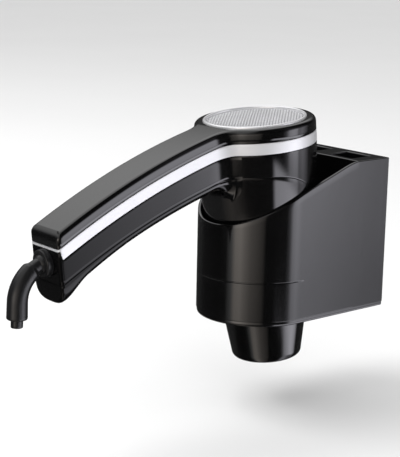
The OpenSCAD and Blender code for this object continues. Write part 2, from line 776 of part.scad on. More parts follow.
module power_cord() {
  color([0.02, 0.02, 0.02]) at_dryer() sweep([lead_station(5, cord_r),
    for (s = [each [0:4:36], boot_l, boot_l + 5]) path_station(s, cord_r)]);
}
module cord_clamp() {
  color([0.05, 0.05, 0.05]) at_dryer() difference() {
    mid_box(-152.5, -59.7, [23, 7, 3.1]);
    at_clamp_screws() disc(-66, 1.5, 20, $fn = 24);
  }
}
module cord_clamp_screws() {
  color(screw_grey) at_dryer() at_clamp_screws()
    translate([0, 0, -59.75]) rotate([180, 0, 0]) screw(8, 1.15, 2.5, 1.4);
}
// path of the wires through the grip: y, z, distance to the side
wire_path = [
  [-158.6, -55.6, 2.2], [-154, -55.4, 2.3], [-149, -55.3, 2.4], [-144, -55.1, 2.6],
  [-132, -54.2, 5], [-120, -51.4, 7], [-106, -47.4, 8.6], [-90, -43, 8.6],
  [-66, -37.4, 8.6], [-55, -36.2, 6.5], [-45, -34.8, 4.5], [-38, -38.2, 4],
  [-32, -44.6, 4], [-24, -51, 4]];
module wire(side) {
  last = len(wire_path) - 1;
  at_dryer() sweep([for (i = [0:last])
    let(p = wire_path[i], run = wire_path[min(last, i + 1)] - wire_path[max(0, i - 1)])
    [p[0], p[1], atan2(run[1], run[0]), 1.1, side * p[2]]], 10);
}
module live_wire() {
  color([0.35, 0.2, 0.1]) wire(-1);
}
module neutral_wire() {
  color([0.1, 0.2, 0.5]) wire(1);
}

wall_plate();
holder_shell();
holder_bottom_cover();
seat_funnel();
seat_ring();
bottom_cover_screws();
lock_screw();
front_shell();
main_housing();
trim_band();
rear_cover();
grille_bezel();
grille_mesh();
lint_filter();
rear_cover_screws();
outlet_grid();
mica_sleeve();
heater_frame();
heating_coil();
thermostat();
thermal_fuse();
motor_can();
motor_end_cap();
motor_board();
motor_mount_ring();
fan_shroud();
fan_impeller();
motor_shaft();
motor_rotor();
switch_button();
switch_body();
switch_carrier();
cord_socket();
cord_boot();
power_cord();
cord_clamp();
cord_clamp_screws();
live_wire();
neutral_wire();
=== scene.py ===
"""Hair dryer standing nose down in a wall holder.

Holder frame: x across, -y out from the wall, +z up; the wall plane is y = 0 and z = 0 is half-way
up the holder. Dryer frame: the barrel runs along z with its mouth at -z (downwards) and the air
grille at +z; the handle runs out along -y. Both frames are in mm; meshes are in metres.
"""
import bpy
import bmesh
import json
from math import acos, atan2, copysign, cos, degrees, hypot, pi, radians, sin, sqrt
from mathutils import Matrix, Vector


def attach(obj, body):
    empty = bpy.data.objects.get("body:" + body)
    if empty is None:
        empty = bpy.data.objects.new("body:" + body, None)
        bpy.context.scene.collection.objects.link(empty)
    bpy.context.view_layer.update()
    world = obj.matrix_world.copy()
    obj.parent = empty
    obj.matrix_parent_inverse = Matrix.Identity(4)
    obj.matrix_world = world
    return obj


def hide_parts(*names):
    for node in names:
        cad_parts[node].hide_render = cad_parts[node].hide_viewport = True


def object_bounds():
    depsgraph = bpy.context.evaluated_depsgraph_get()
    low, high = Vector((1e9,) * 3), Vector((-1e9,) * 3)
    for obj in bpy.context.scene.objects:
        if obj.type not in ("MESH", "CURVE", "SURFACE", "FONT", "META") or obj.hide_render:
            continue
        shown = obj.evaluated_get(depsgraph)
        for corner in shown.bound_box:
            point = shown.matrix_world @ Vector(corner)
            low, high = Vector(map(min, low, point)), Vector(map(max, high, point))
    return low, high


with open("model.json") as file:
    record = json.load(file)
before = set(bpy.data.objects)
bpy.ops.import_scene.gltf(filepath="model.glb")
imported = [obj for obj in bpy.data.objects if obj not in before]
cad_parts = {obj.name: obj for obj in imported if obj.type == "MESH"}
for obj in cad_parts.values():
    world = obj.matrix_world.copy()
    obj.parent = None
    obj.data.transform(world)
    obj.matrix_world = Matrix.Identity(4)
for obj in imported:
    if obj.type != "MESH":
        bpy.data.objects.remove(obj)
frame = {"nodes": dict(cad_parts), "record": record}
cad_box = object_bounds()
MM = 0.001

# Dryer frame in the holder frame: tilt about x, and origin
TILT = radians(6.0)
DRYER_Y, DRYER_Z = -85.5, 78.2
COS_TILT, SIN_TILT = cos(TILT), sin(TILT)

# ------------------------------------------------------------------ dryer sizes (mm)
REAR_R, MOUTH_R = 39.3, 23.0
BARREL = 160.0          # mouth at z = -BARREL
TAPER_START = 15        # the barrel narrows below z = -TAPER_START
REAR_Z = 0.8            # flat back of the dryer
HANDLE_END = 166.0      # handle ends at y = -HANDLE_END
HANDLE_HALF = 15.0      # half its width
HANDLE_DEPTH = 38.0
CORNER_R = 2.4          # end corners of the handle outline
SPLIT_DEPTH = 30.8      # from the handle's back to the joint with the front shell
COVER_DEPTH, TRIM_WIDTH = 8.6, 7.5
GAP = 0.15
SEAM_GAP = 0.14
EDGE_LIP = 0.7          # how far the shell edges turn inwards

# The handle's back bends away from y = -BEND_START
BEND_START, BEND_SLOPE, BEND_CURVE = 35, 0.135, 0.00116

# Fillets joining the round end to the handle, seen along the barrel
NECK_R = 18.0
NECK_X = HANDLE_HALF + NECK_R
NECK_Y = -sqrt((REAR_R + NECK_R) ** 2 - NECK_X ** 2)
NECK_ANGLE = acos(NECK_X / (REAR_R + NECK_R))

# Elliptical seam round the barrel: centre and half-axes
SEAM_Z, SEAM_Y, SEAM_HALF_Z, SEAM_HALF_Y = -88.4, -20.0, 58.25, 53.5

# Switch slot: place along the handle, slope of the surface there
SLOT_Y, SLOT_SLOPE = -82.5, radians(13.7)
SLOT_SIZE, SLOT_ROUND = (10.4, 28.6, 9.0), 1.2
SLIDER_SHIFT = -8.8     # slider along the slot
SLIDER_HALF, SLIDER_CORNER, SLIDER_EDGE = 4.75, 0.9, 0.7

GRILLE_R = 33.6

# Cord joint at the handle's end; the boot leans and then bends downwards
PIVOT_Y, PIVOT_Z = -(HANDLE_END + 1.5), -55.6
BALL_R, POCKET_R, SOCKET_R = 6.0, 6.8, 6.06
LEAN, BEND_LIMIT = 4.0, 82.0    # degrees
BEND_R, BOOT_LENGTH = 22.0, 40.0
CORD_R, CORD_TIP = 3.62, 0.8


def from_dryer(point):
    """dryer frame in mm to the holder frame in metres"""
    x, y, z = point
    return (x * MM, (y * COS_TILT - z * SIN_TILT + DRYER_Y) * MM,
            (y * SIN_TILT + z * COS_TILT + DRYER_Z) * MM)


def from_holder(point):
    return tuple(value * MM for value in point)


# ------------------------------------------------------------------ curve helpers
def smoothstep(t):
    t = min(1.0, max(0.0, t))
    return t * t * (3 - 2 * t)


def angles(count):
    """evenly spaced angles of a full turn"""
    return [2 * pi * i / count for i in range(count)]


def toward(start, end, t):
    """point in x and y, a share t of the way from start to end"""
    return (start[0] + (end[0] - start[0]) * t, start[1] + (end[1] - start[1]) * t)


def round_arc(radius, steps):
    """(inward, drop) of a quarter round, from the side (0, radius) to the top (radius, 0)"""
    turns = [pi / 2 * i / steps for i in range(steps + 1)]
    return [(radius * (1 - cos(t)), radius * (1 - sin(t))) for t in turns]


def columns(loops):
    """loops of points regrouped as one column per point of the loop"""
    return [list(column) for column in zip(*loops)]


# ------------------------------------------------------------------ curves of the dryer
def barrel_r(z):
    share = max(0.0, -TAPER_START - z) / (BARREL - TAPER_START)
    return REAR_R - (REAR_R - MOUTH_R) * share ** 1.5


def back_z(y):
    beyond = max(0.0, -BEND_START - y)
    return REAR_Z - BEND_SLOPE * beyond - BEND_CURVE * beyond * beyond


def fillet_z(y):
    """extra depth where the handle's front flares into the barrel"""
    if y <= -50:
        return 0.0
    return 14 * (1 - sqrt(max(0.0, 1 - min(1.0, (y + 50) / 15) ** 2)))


def tip_z(y):
    """extra depth towards the handle's end, rounded off over the last 5 mm"""
    depth = 0.0005 * max(0.0, -94 - y) ** 2 + 4.4 * smoothstep((-146 - y) / 15)
    if y < -161:
        depth -= 8.0 - sqrt(max(0.0, 64.0 - ((-161 - y) * 1.1) ** 2))
    return depth


def front_z(y):
    return back_z(y) - HANDLE_DEPTH - fillet_z(y) - tip_z(y)


def split_z(y):
    return back_z(y) - SPLIT_DEPTH


def trim_back_z(y):
    return back_z(y) - COVER_DEPTH


def trim_front_z(y):
    return back_z(y) - COVER_DEPTH - TRIM_WIDTH


def band_front_z(y):
    """front edge of the trim band: full width on the sides, a thin line across the end"""
    t = smoothstep(((-HANDLE_END + CORNER_R) - y) / (CORNER_R * 0.55))
    return trim_front_z(y) * (1 - t) + (trim_back_z(y) - 1.7) * t


def handle_half(y):
    """half width of the handle, with its neck fillets"""
    if y <= NECK_Y:
        return HANDLE_HALF
    return NECK_X - sqrt(max(0.0, NECK_R ** 2 - (min(y, -REAR_R * 0.815) - NECK_Y) ** 2))


def seam_z(phi):
    """height of the seam at an angle round the barrel, found by damped iteration"""
    z = -60.0
    for _ in range(30):
        y = barrel_r(z) * sin(phi)
        target = SEAM_Z + SEAM_HALF_Z
        if y > SEAM_Y:
            share = min(1.0, (y - SEAM_Y) / SEAM_HALF_Y)
            target = SEAM_Z + SEAM_HALF_Z * sqrt(1 - share * share)
        z = 0.5 * z + 0.5 * target
    return z


def half_outline(inset):
    """+x side of the outline seen along the barrel: from the round end round the neck fillet,
    down the handle and round its end corner to the centre line"""
    fillet_steps, straight_steps, corner_steps, end_steps = 14, 70, 6, 6
    points = []
    for i in range(fillet_steps + 1):
        a = NECK_ANGLE * (1 - i / fillet_steps)
        points.append((NECK_X - (NECK_R + inset) * cos(a), NECK_Y + (NECK_R + inset) * sin(a)))
    corner_x, corner_y = HANDLE_HALF - CORNER_R, -HANDLE_END + CORNER_R
    for i in range(1, straight_steps + 1):
        y = NECK_Y + (corner_y - NECK_Y) * i / straight_steps
        points.append((HANDLE_HALF - inset, y))
    radius = max(CORNER_R - inset, 0.02)
    if inset > CORNER_R:
        corner_x, corner_y = HANDLE_HALF - inset - 0.02, -HANDLE_END + inset + 0.02
        points = [(x, max(y, corner_y)) for x, y in points]
    for i in range(1, corner_steps + 1):
        t = pi / 2 * i / corner_steps
        points.append((corner_x + radius * cos(t), corner_y - radius * sin(t)))
    for i in range(1, end_steps + 1):
        points.append((corner_x * (1 - i / end_steps), corner_y - radius))
    return points


def both_sides(half):
    """a half outline followed by its mirror image"""
    return half + [(-x, y) for x, y in reversed(half[:-1])]


def full_outline(inset):
    """closed outline: both sides of the handle, then back over the round end"""
    steps = 120
    start, end = pi + NECK_ANGLE, -NECK_ANGLE
    points = both_sides(half_outline(inset))
    for i in range(1, steps):
        a = start + (end - start) * i / steps
        points.append(((REAR_R - inset) * cos(a), (REAR_R - inset) * sin(a)))
    return points


# ------------------------------------------------------------------ mesh helpers
def new_obj(name, verts=(), faces=()):
    mesh = bpy.data.meshes.new(name)
    mesh.from_pydata(verts, [], faces)
    mesh.update()
    return link_obj(name, mesh)


def link_obj(name, data):
    ob = bpy.data.objects.new(name, data)
    bpy.context.scene.collection.objects.link(ob)
    return ob


def bmesh_obj(name, bm):
    mesh = bpy.data.meshes.new(name)
    bm.to_mesh(mesh)
    bm.free()
    return link_obj(name, mesh)


def shade(bm, angle):
    """smooth faces, with sharp edges where two of them meet at more than angle (degrees)"""
    for face in bm.faces:
        face.smooth = True
    if angle is None:
        return
    limit = radians(angle)
    for edge in bm.edges:
        edge.smooth = not (len(edge.link_faces) == 2 and edge.calc_face_angle(0.0) > limit)


def shade_obj(ob, angle):
    bm = bmesh.new()
    bm.from_mesh(ob.data)
    shade(bm, angle)
    bm.to_mesh(ob.data)
    bm.free()


def apply_modifiers(ob):
    depsgraph = bpy.context.evaluated_depsgraph_get()
    mesh = bpy.data.meshes.new_from_object(ob.evaluated_get(depsgraph))
    old = ob.data
    ob.modifiers.clear()
    ob.data = mesh
    bpy.data.meshes.remove(old)


class MeshBuilder:
    """Collects grids and single faces into one mesh; place maps each point to metres."""

    def __init__(self, place):
        self.verts, self.faces, self.place = [], [], place

    def grid(self, rows, close_rows=False, close_columns=False, flip=False):
        n, m = len(rows), len(rows[0])
        base = len(self.verts)
        for points in rows:
            self.verts += [self.place(p) for p in points]
        for i in range(n if close_rows else n - 1):
            here, there = base + i * m, base + ((i + 1) % n) * m
            for j in range(m if close_columns else m - 1):
                k = (j + 1) % m
                face = (here + j, here + k, there + k, there + j)
                self.faces.append(face[::-1] if flip else face)

    def face(self, points, flip=False):
        base = len(self.verts)
        self.verts += [self.place(p) for p in points]
        corners = tuple(range(base, base + len(points)))
        self.faces.append(corners[::-1] if flip else corners)

    def make(self, name, sharp, weld=0.00001):
        ob = new_obj(name, self.verts, self.faces)
        bm = bmesh.new()
        bm.from_mesh(ob.data)
        if weld:
            bmesh.ops.remove_doubles(bm, verts=bm.verts, dist=weld)
        bmesh.ops.recalc_face_normals(bm, faces=bm.faces)
        shade(bm, sharp)
        bm.to_mesh(ob.data)
        bm.free()
        return ob


def revolve(name, profile, count, place, sharp):
    """(radius, z) profile turned about z"""
    builder = MeshBuilder(place)
    builder.grid([[(r * cos(t), r * sin(t), z) for r, z in profile] for t in angles(count)],
                 close_rows=True)
    return builder.make(name, sharp)


def rings(stations, count):
    """rings about (y, z, direction, radius) stations of a path in the y-z plane"""
    return [[(r * cos(t), y - r * sin(t) * sin(a), z + r * sin(t) * cos(a))
             for t in angles(count)] for y, z, a, r in stations]


# ------------------------------------------------------------------ dryer shells
def edge_lip(radius, z, step):
    """(radius, z) of a shell edge turned inwards; step leads from the edge into the shell"""
    return [(radius - EDGE_LIP, z), (radius - 0.16, z), (radius - 0.03, z + step)]


def turned(profile, phi):
    return [(r * cos(phi), r * sin(phi), z) for r, z in profile]


def nozzle_profile(phi):
    """(radius, z) from the seam down the barrel, round the mouth and up inside"""
    lip_r, wall, inside = 1.1, 2.2, 60.0
    seam = seam_z(phi) - SEAM_GAP
    profile = edge_lip(barrel_r(seam), seam, -0.1)
    z0, z1 = seam - 0.3, -BARREL + 1.15
    for k in range(47):
        z = z0 + (z1 - z0) * k / 46
        profile.append((barrel_r(z), z))
    for t in [pi * j / 10 for j in range(1, 10)]:
        profile.append((MOUTH_R - lip_r + lip_r * cos(t), -BARREL + lip_r - lip_r * sin(t)))
    for k in range(1, 13):
        z = -BARREL + lip_r + inside * k / 12
        profile.append((barrel_r(z) - wall, z))
    return profile


def handle_section(y, inset):
    """section of the handle's rounded front, from its +x edge round to its -x edge"""
    steps, edge, blend_y = 64, 0.12, -36.0
    z_top = split_z(y) - GAP
    depth = z_top - front_z(y) - inset
    half = handle_half(y) - inset
    power = 0.88 - 0.2 * smoothstep((-110 - y) / 45)    # squarer towards the end
    points = [(half - 0.5, y, z_top), (half - edge, y, z_top), (half, y, z_top - edge)]
    for a in [pi * j / steps for j in range(1, steps)]:
        across = copysign(abs(cos(a)) ** power, cos(a))
        points.append((half * across, y, z_top - edge - (depth - edge) * sin(a) ** power))
    points += [(-half, y, z_top - edge), (-half + edge, y, z_top), (-half + 0.5, y, z_top)]
    if y <= blend_y:
        return points
    # the first sections are drawn onto the barrel
    t = smoothstep((-30.8 - y) / 5.2)
    drawn = []
    for px, py, pz in points:
        reach, r = hypot(px, py), barrel_r(pz)
        k = (r + (reach - r) * t - 0.15 * (1 - t)) / reach
        drawn.append((px * k, py * k, pz))
    return drawn


def slot_matrix(shift):
    """switch slot's own frame (mm), moved by shift along the slot, to the holder frame"""
    local = (Matrix.Translation((0, SLOT_Y, front_z(SLOT_Y)))
             @ Matrix.Rotation(pi + SLOT_SLOPE, 4, 'X')
             @ Matrix.Translation((0, shift, 0)))
    dryer = (Matrix.Translation((0, DRYER_Y * MM, DRYER_Z * MM))
             @ Matrix.Rotation(TILT, 4, 'X')
             @ Matrix.Scale(MM, 4))
    return dryer @ local


def slot_cutter():
    bm = bmesh.new()
    bmesh.ops.create_cube(bm, size=1.0)
    for v in bm.verts:
        v.co = Vector([c * size for c, size in zip(v.co, SLOT_SIZE)])
    bmesh.ops.bevel(bm, geom=list(bm.edges), offset=SLOT_ROUND, segments=4, affect='EDGES',
                    profile=0.5)
    ob = bmesh_obj("slot_cut", bm)
    ob.matrix_world = slot_matrix(0.0)
    return ob


def ball_cutter():
    bm = bmesh.new()
    bmesh.ops.create_icosphere(bm, subdivisions=4, radius=POCKET_R)
    for v in bm.verts:
        v.co = Vector(from_dryer((v.co.x, v.co.y + PIVOT_Y, v.co.z + PIVOT_Z)))
    return bmesh_obj("ball_cut", bm)


def make_front_shell():
    builder = MeshBuilder(from_dryer)
    builder.grid([turned(nozzle_profile(phi), phi) for phi in angles(168)], close_rows=True)
    # handle stations: (first y, step, count)
    stations = ((-30, 0.25, 24), (-36, 0.5, 32), (-52, 1.5, 68), (-153.5, 0.5, 22))
    rows = [handle_section(y0 - step * i, 0.0) for y0, step, n in stations for i in range(n)]
    end_r = 1.8
    for inward, drop in round_arc(end_r, 7)[1:]:
        rows.append(handle_section(-HANDLE_END + drop, inward))
    builder.grid(rows, flip=True)
    last = rows[-1]
    middle = (0.0, -HANDLE_END, sum(p[2] for p in last) / len(last))
    for j in range(len(last) - 1):
        builder.face([last[j], last[j + 1], middle])
    builder.face([last[-1], last[0], middle])
    ob = builder.make("front_shell_skin", sharp=48)
    # slot for the switch and pocket for the cord joint
    cutters = [slot_cutter(), ball_cutter()]
    bpy.context.view_layer.update()
    for cutter in cutters:
        cut = ob.modifiers.new("cut", 'BOOLEAN')
        cut.operation = 'DIFFERENCE'
        cut.solver = 'EXACT'
        cut.object = cutter
    apply_modifiers(ob)
    for cutter in cutters:
        bpy.data.objects.remove(cutter)
    shade_obj(ob, 46)
    return ob


def make_main_housing():
    builder = MeshBuilder(from_dryer)
    z1 = REAR_Z - COVER_DEPTH - TRIM_WIDTH - 0.05
    rows = []
    for phi in angles(168):
        seam = seam_z(phi) + SEAM_GAP
        profile = edge_lip(barrel_r(seam), seam, 0.1)
        for k in range(30):
            z = seam + 0.3 + (z1 - 0.3 - seam - 0.3) * k / 29
            profile.append((barrel_r(z), z))
        profile += reversed(edge_lip(REAR_R, z1, -0.1))
        rows.append(turned(profile, phi))
    builder.grid(rows, close_rows=True)
    # flat sides and end of the handle
    rows = []
    for outer, inner in zip(both_sides(half_outline(0)), both_sides(half_outline(EDGE_LIP))):
        za, zb = split_z(outer[1]), band_front_z(outer[1]) - 0.05
        eased = toward(outer, inner, 0.2)
        rows.append([(*inner, za), (*eased, za), (*outer, za + 0.16)]
                    + [(*outer, za + (zb - za) * k / 6) for k in range(1, 6)]
                    + [(*outer, zb - 0.16), (*eased, zb), (*inner, zb)])
    builder.grid(rows)
    return builder.make("main_housing_skin", sharp=48)


def make_trim():
    """bright band standing slightly proud of the housing"""
    proud = 0.08
    # band edge: (share of the way inwards, distance from the edge)
    edge = ((1, 0), (0.3, 0), (0.08, 0.07), (0, 0.3))
    builder = MeshBuilder(from_dryer)
    rows = []
    for outer, inner in zip(full_outline(-proud), full_outline(EDGE_LIP)):
        za, zb = band_front_z(outer[1]) + GAP, trim_back_z(outer[1]) - GAP
        rows.append([(*toward(outer, inner, t), za + dz) for t, dz in edge]
                    + [(*outer, za + (zb - za) * k / 6) for k in range(1, 6)]
                    + [(*toward(outer, inner, t), zb - dz) for t, dz in reversed(edge)])
    builder.grid(rows, close_rows=True)
    return builder.make("trim_band_skin", sharp=50)


def make_rear_cover():
    builder = MeshBuilder(from_dryer)
    rim_r, hole_r = 3.4, GRILLE_R + 0.12
    outer, inner = full_outline(0), full_outline(EDGE_LIP)
    loops = [[(*q, trim_back_z(p[1]) + GAP) for p, q in zip(outer, inner)],
             [(*toward(p, q, 0.2), trim_back_z(p[1]) + GAP) for p, q in zip(outer, inner)],
             [(*p, trim_back_z(p[1]) + GAP + 0.16) for p in outer],
             [(*p, trim_back_z(p[1]) + 0.5 * (COVER_DEPTH - rim_r)) for p in outer]]
    for inward, drop in round_arc(rim_r, 10):
        loop = []
        for (_, edge_y), (x, y) in zip(outer, full_outline(inward)):
            edge_z = back_z(edge_y)
            loop.append((x, y, edge_z - drop - (edge_z - back_z(y)) * (inward / rim_r)))
        loops.append(loop)
    builder.grid(columns(loops), close_rows=True)
    rim = loops[-1]
    half_count = len(half_outline(0))

    # ring between the rim and the grille
    left = 2 * half_count - 2           # neck tangent point on the -x side
    rows = []
    for point in rim[left:] + [rim[0]]:
        a = atan2(point[1], point[0])
        hole = (hole_r * cos(a), hole_r * sin(a))
        rows.append([(*toward(point, hole, t), REAR_Z) for t in (0, 0.35, 0.7)]
                    + [(hole[0] * 1.004, hole[1] * 1.004, REAR_Z), (*hole, 0.66), (*hole, -1.2)])
    builder.grid(rows)

    # back of the handle, running up to the grille
    steps, blend_rows = 24, 12.0
    a = atan2(rim[0][1], rim[0][0])
    hole = (hole_r * cos(a), hole_r * sin(a))
    edge = [toward(hole, rim[0], t) for t in (0, 0.3, 0.65)] + [p[:2] for p in rim[:half_count]]
    rows = []
    for k, (edge_x, edge_y) in enumerate(edge):
        weight = smoothstep(1 - k / blend_rows)
        row = []
        for j in range(steps + 1):
            x = edge_x * sin(pi / 2 * (2 * j / steps - 1))
            sag = (-sqrt(max(0, hole_r * hole_r - min(x * x, hole_r * hole_r)))
                   + sqrt(max(0, hole_r * hole_r - min(edge_x * edge_x, hole_r * hole_r))))
            y = max(edge_y + weight * sag, -HANDLE_END + rim_r)
            row.append((x, y, back_z(y)))
        rows.append(row)
    builder.grid(rows)
    builder.grid([[(x, y, REAR_Z), (x * 0.996, y * 0.996, 0.66), (x * 0.996, y * 0.996, -1.2)]
                  for x, y, _ in rows[0]])
    return builder.make("rear_cover_skin", weld=0.00002, sharp=50)


# ------------------------------------------------------------------ grille and switch
def make_bezel():
    """ring with a rounded top round the grille"""
    profile = [(31.52, -1.25), (31.52, 0.5)]
    for i in range(13):
        t = pi * (1 - i / 12)
        profile.append((32.55 + 1.03 * cos(t), 0.7 + 1.15 * sin(t)))
    profile += [(33.58, 0.3), (33.58, -1.25)]
    return revolve("grille_bezel_ring", profile, 160, from_dryer, sharp=70)


def make_weave():
    """slightly domed disc of woven wire: two crossing sets of crimped wires"""
    disc_r, pitch, wire_r, crimp = 31.45, 1.3, 0.27, 0.25
    level, dome_height, shortest = -0.35, 0.35, 2
    builder = MeshBuilder(from_dryer)
    n = int(disc_r / pitch)
    for along_x in (True, False):
        for i in range(-n, n + 1):
            offset = i * pitch
            half = sqrt(max(0, disc_r * disc_r - offset * offset))
            if half < shortest:
                continue
            steps = max(8, int(half * 2 / pitch * 4))
            rows = []
            for k in range(steps + 1):
                s = -half + 2 * half * k / steps
                phase = pi * s / pitch + (0 if i % 2 == 0 else pi)
                wave = crimp * cos(phase) * (1 if along_x else -1)
                dome = dome_height * (1 - (s * s + offset * offset) / (disc_r * disc_r))
                ring = []
                for t in angles(6):
                    across = offset + wire_r * cos(t)
                    z = level + dome + wave + wire_r * sin(t)
                    ring.append((s, across, z) if along_x else (across, s, z))
                rows.append(ring)
            builder.grid(rows, close_columns=True)
    return builder.make("grille_weave", weld=0, sharp=None)


def slider_height(y):
    """top of the slider: cross ridges in the middle, falling away at both ends"""
    height, ridged, ridge_pitch, ridge_depth = 1.75, 3.9, 1.3, 0.28
    if abs(y) < ridged:
        height -= ridge_depth * (0.5 - 0.5 * cos(2 * pi * (y + ridged) / ridge_pitch))
    return height - 0.9 * smoothstep((abs(y) - 3.7) / 1.2)


def make_button():
    """switch slider with a rounded outline"""
    matrix = slot_matrix(SLIDER_SHIFT)
    builder = MeshBuilder(lambda p: tuple(matrix @ Vector(p)))
    foot, shoulder, steps = -4.9, 0.2, 64
    arc = round_arc(SLIDER_EDGE, 8)
    rows = []
    for i in range(steps + 1):
        y = -SLIDER_HALF + 2 * SLIDER_HALF * i / steps
        beyond = max(0.0, abs(y) - (SLIDER_HALF - SLIDER_CORNER))
        half = (SLIDER_HALF - SLIDER_CORNER
                + sqrt(max(0, SLIDER_CORNER * SLIDER_CORNER - beyond * beyond)))
        h = slider_height(y)
        rows.append([(-half, y, foot), (-half, y, shoulder)]
                    + [(-half + inward, y, h - drop) for inward, drop in arc]
                    + [((-half + SLIDER_EDGE) * (1 - j / 4), y, h) for j in range(1, 8)]
                    + [(half - inward, y, h - drop) for inward, drop in reversed(arc)]
                    + [(half, y, shoulder), (half, y, foot)])
    builder.grid(rows)
    builder.face(rows[0])
    builder.face(rows[-1], flip=True)
    return builder.make("switch_slider", sharp=55)


# ------------------------------------------------------------------ cord
def cord_station(s, radius):
    """(y, z, direction, radius) at a distance s from the pivot: an arc, then straight"""
    lean = radians(LEAN)
    a = radians(min(BEND_LIMIT, LEAN + degrees(s / BEND_R)))
    rest = max(0.0, s - radians(BEND_LIMIT - LEAN) * BEND_R)
    return (PIVOT_Y - BEND_R * (sin(a) - sin(lean)) - rest * cos(a),
            PIVOT_Z - BEND_R * (cos(lean) - cos(a)) - rest * sin(a), pi + a, radius)


def boot_r(s):
    """thin neck, a step, then a slow widening"""
    neck_r, neck_end, body_r, body_start = 4.5, 7.2, 5.9, 10.2
    if s < neck_end:
        return neck_r
    if s < body_start:
        return neck_r + 1.4 * smoothstep((s - neck_end) / 3)
    return body_r + 0.35 * (s - body_start) / (BOOT_LENGTH - body_start)


def make_boot():
    builder = MeshBuilder(from_dryer)
    # stations along the boot: (first distance, step, count)
    spans = ((1.0, 0.6, 10), (6.8, 0.25, 21), (12.1, 0.9, 30))
    distances = [s0 + step * i for s0, step, n in spans for i in range(n)]
    stations = [cord_station(s, boot_r(s)) for s in distances]
    for inward, drop in round_arc(1.1, 8):
        s = BOOT_LENGTH - drop
        stations.append(cord_station(s, boot_r(s) - inward))
    # the end turns in to the cord
    stations.append(cord_station(BOOT_LENGTH, 3.75))
    stations.append(cord_station(BOOT_LENGTH - 3, 3.7))
    builder.grid(rings(stations, 56), close_columns=True)
    # ball at the pivot
    ball = []
    for t in [pi * i / 24 for i in range(1, 24)]:
        ball.append([(BALL_R * sin(t) * cos(u), PIVOT_Y + BALL_R * cos(t),
                      PIVOT_Z + BALL_R * sin(t) * sin(u)) for u in angles(48)])
    builder.grid(ball, close_columns=True)
    return builder.make("cord_boot_rubber", sharp=60)


def make_cord():
    """short length of cord, closed with a rounded end"""
    start, length, steps = 2, BOOT_LENGTH + 5, 60
    stations = [cord_station(start + (length - start - CORD_TIP) * i / steps, CORD_R)
                for i in range(steps + 1)]
    for t in (30, 60, 85):
        s = length - CORD_TIP + CORD_TIP * sin(radians(t))
        stations.append(cord_station(s, CORD_R - CORD_TIP * (1 - cos(radians(t)))))
    stations.append(cord_station(length, 0.05))
    builder = MeshBuilder(from_dryer)
    builder.grid(rings(stations, 40), close_columns=True)
    return builder.make("power_cord_sleeve", sharp=60)


def make_socket():
    """ring round the ball, turned about the handle's axis"""
    outer_r, edge_r = 8.4, 0.9
    profile = [(SOCKET_R, 0.0), (5.75, -2.2), (6.9, -2.58), (outer_r - edge_r, -2.6)]
    for t in [pi / 2 * i / 8 for i in range(1, 9)]:
        profile.append((outer_r - edge_r + edge_r * sin(t), -1.7 - edge_r * cos(t)))
    profile += [(outer_r, -0.6), (outer_r, 1.35), (SOCKET_R + 0.2, 1.35), (SOCKET_R, 0.0)]
    return revolve("cord_socket_ring", profile, 72,
                   lambda p: from_dryer((p[0], PIVOT_Y + p[2], PIVOT_Z + p[1])), sharp=40)


# ------------------------------------------------------------------ holder
HALF_WIDTH, HALF_HEIGHT = 40.0, 51.0
FLAT_END = 79.5         # sides are flat to y = -FLAT_END, then a half round
WALL = 2.2
DECK = 29.0             # the flat deck reaches y = -DECK
EDGE_R = 0.75
WALL_FOOT = -HALF_HEIGHT + 3.05
GROOVE_Z = -HALF_HEIGHT + 28.5
PLATE_INSET = 0.5
# Top edge in front of the deck: (y, drop below the deck)
SCOOP = [(-DECK + 3, 0), (-DECK, 0), (-37, 1.9), (-50, 6.6), (-68, 13.2), (-85, 20.2),
         (-98, 26.4), (-108, 31.6), (-116, 35.8), (-121, 37.6), (-128, 38.4)]
# Groove across its width: (height from its middle, depth)
GROOVE = ((-0.75, 0.0), (-0.48, 0.0), (-0.36, 0.10), (-0.3, 0.45), (-0.25, 0.8),
          (0.25, 0.8), (0.3, 0.45), (0.36, 0.10), (0.48, 0.0), (0.75, 0.0))


def catmull_rom(a, b, c, d, t):
    return 0.5 * (2 * b + (c - a) * t + (2 * a - 5 * b + 4 * c - d) * t * t
                  + (3 * b - a - 3 * c + d) * t ** 3)


def wall_top(y):
    """top of the wall: a spline through SCOOP, its parameter found by bisection"""
    if y >= -DECK:
        return HALF_HEIGHT
    i = next(i for i in range(1, len(SCOOP) - 2) if SCOOP[i + 1][0] <= y)
    knot_ys, drops = zip(*SCOOP[i - 1:i + 3])
    low, high = 0.0, 1.0
    for _ in range(28):
        t = 0.5 * (low + high)
        if catmull_rom(*knot_ys, t) > y:
            low = t
        else:
            high = t
    return HALF_HEIGHT - catmull_rom(*drops, 0.5 * (low + high))


def wall_line(inset, side_steps=30, round_steps=140, back_y=-DECK):
    """+x side from back_y forwards, round the front and back along the -x side"""
    half = HALF_WIDTH - inset
    ys = [back_y + (-FLAT_END - back_y) * i / side_steps for i in range(side_steps)]
    points = [(half, y) for y in ys]
    for i in range(round_steps + 1):
        t = pi * i / round_steps
        points.append((half * cos(t), -FLAT_END - half * sin(t)))
    return points + [(-half, y) for y in reversed(ys)]


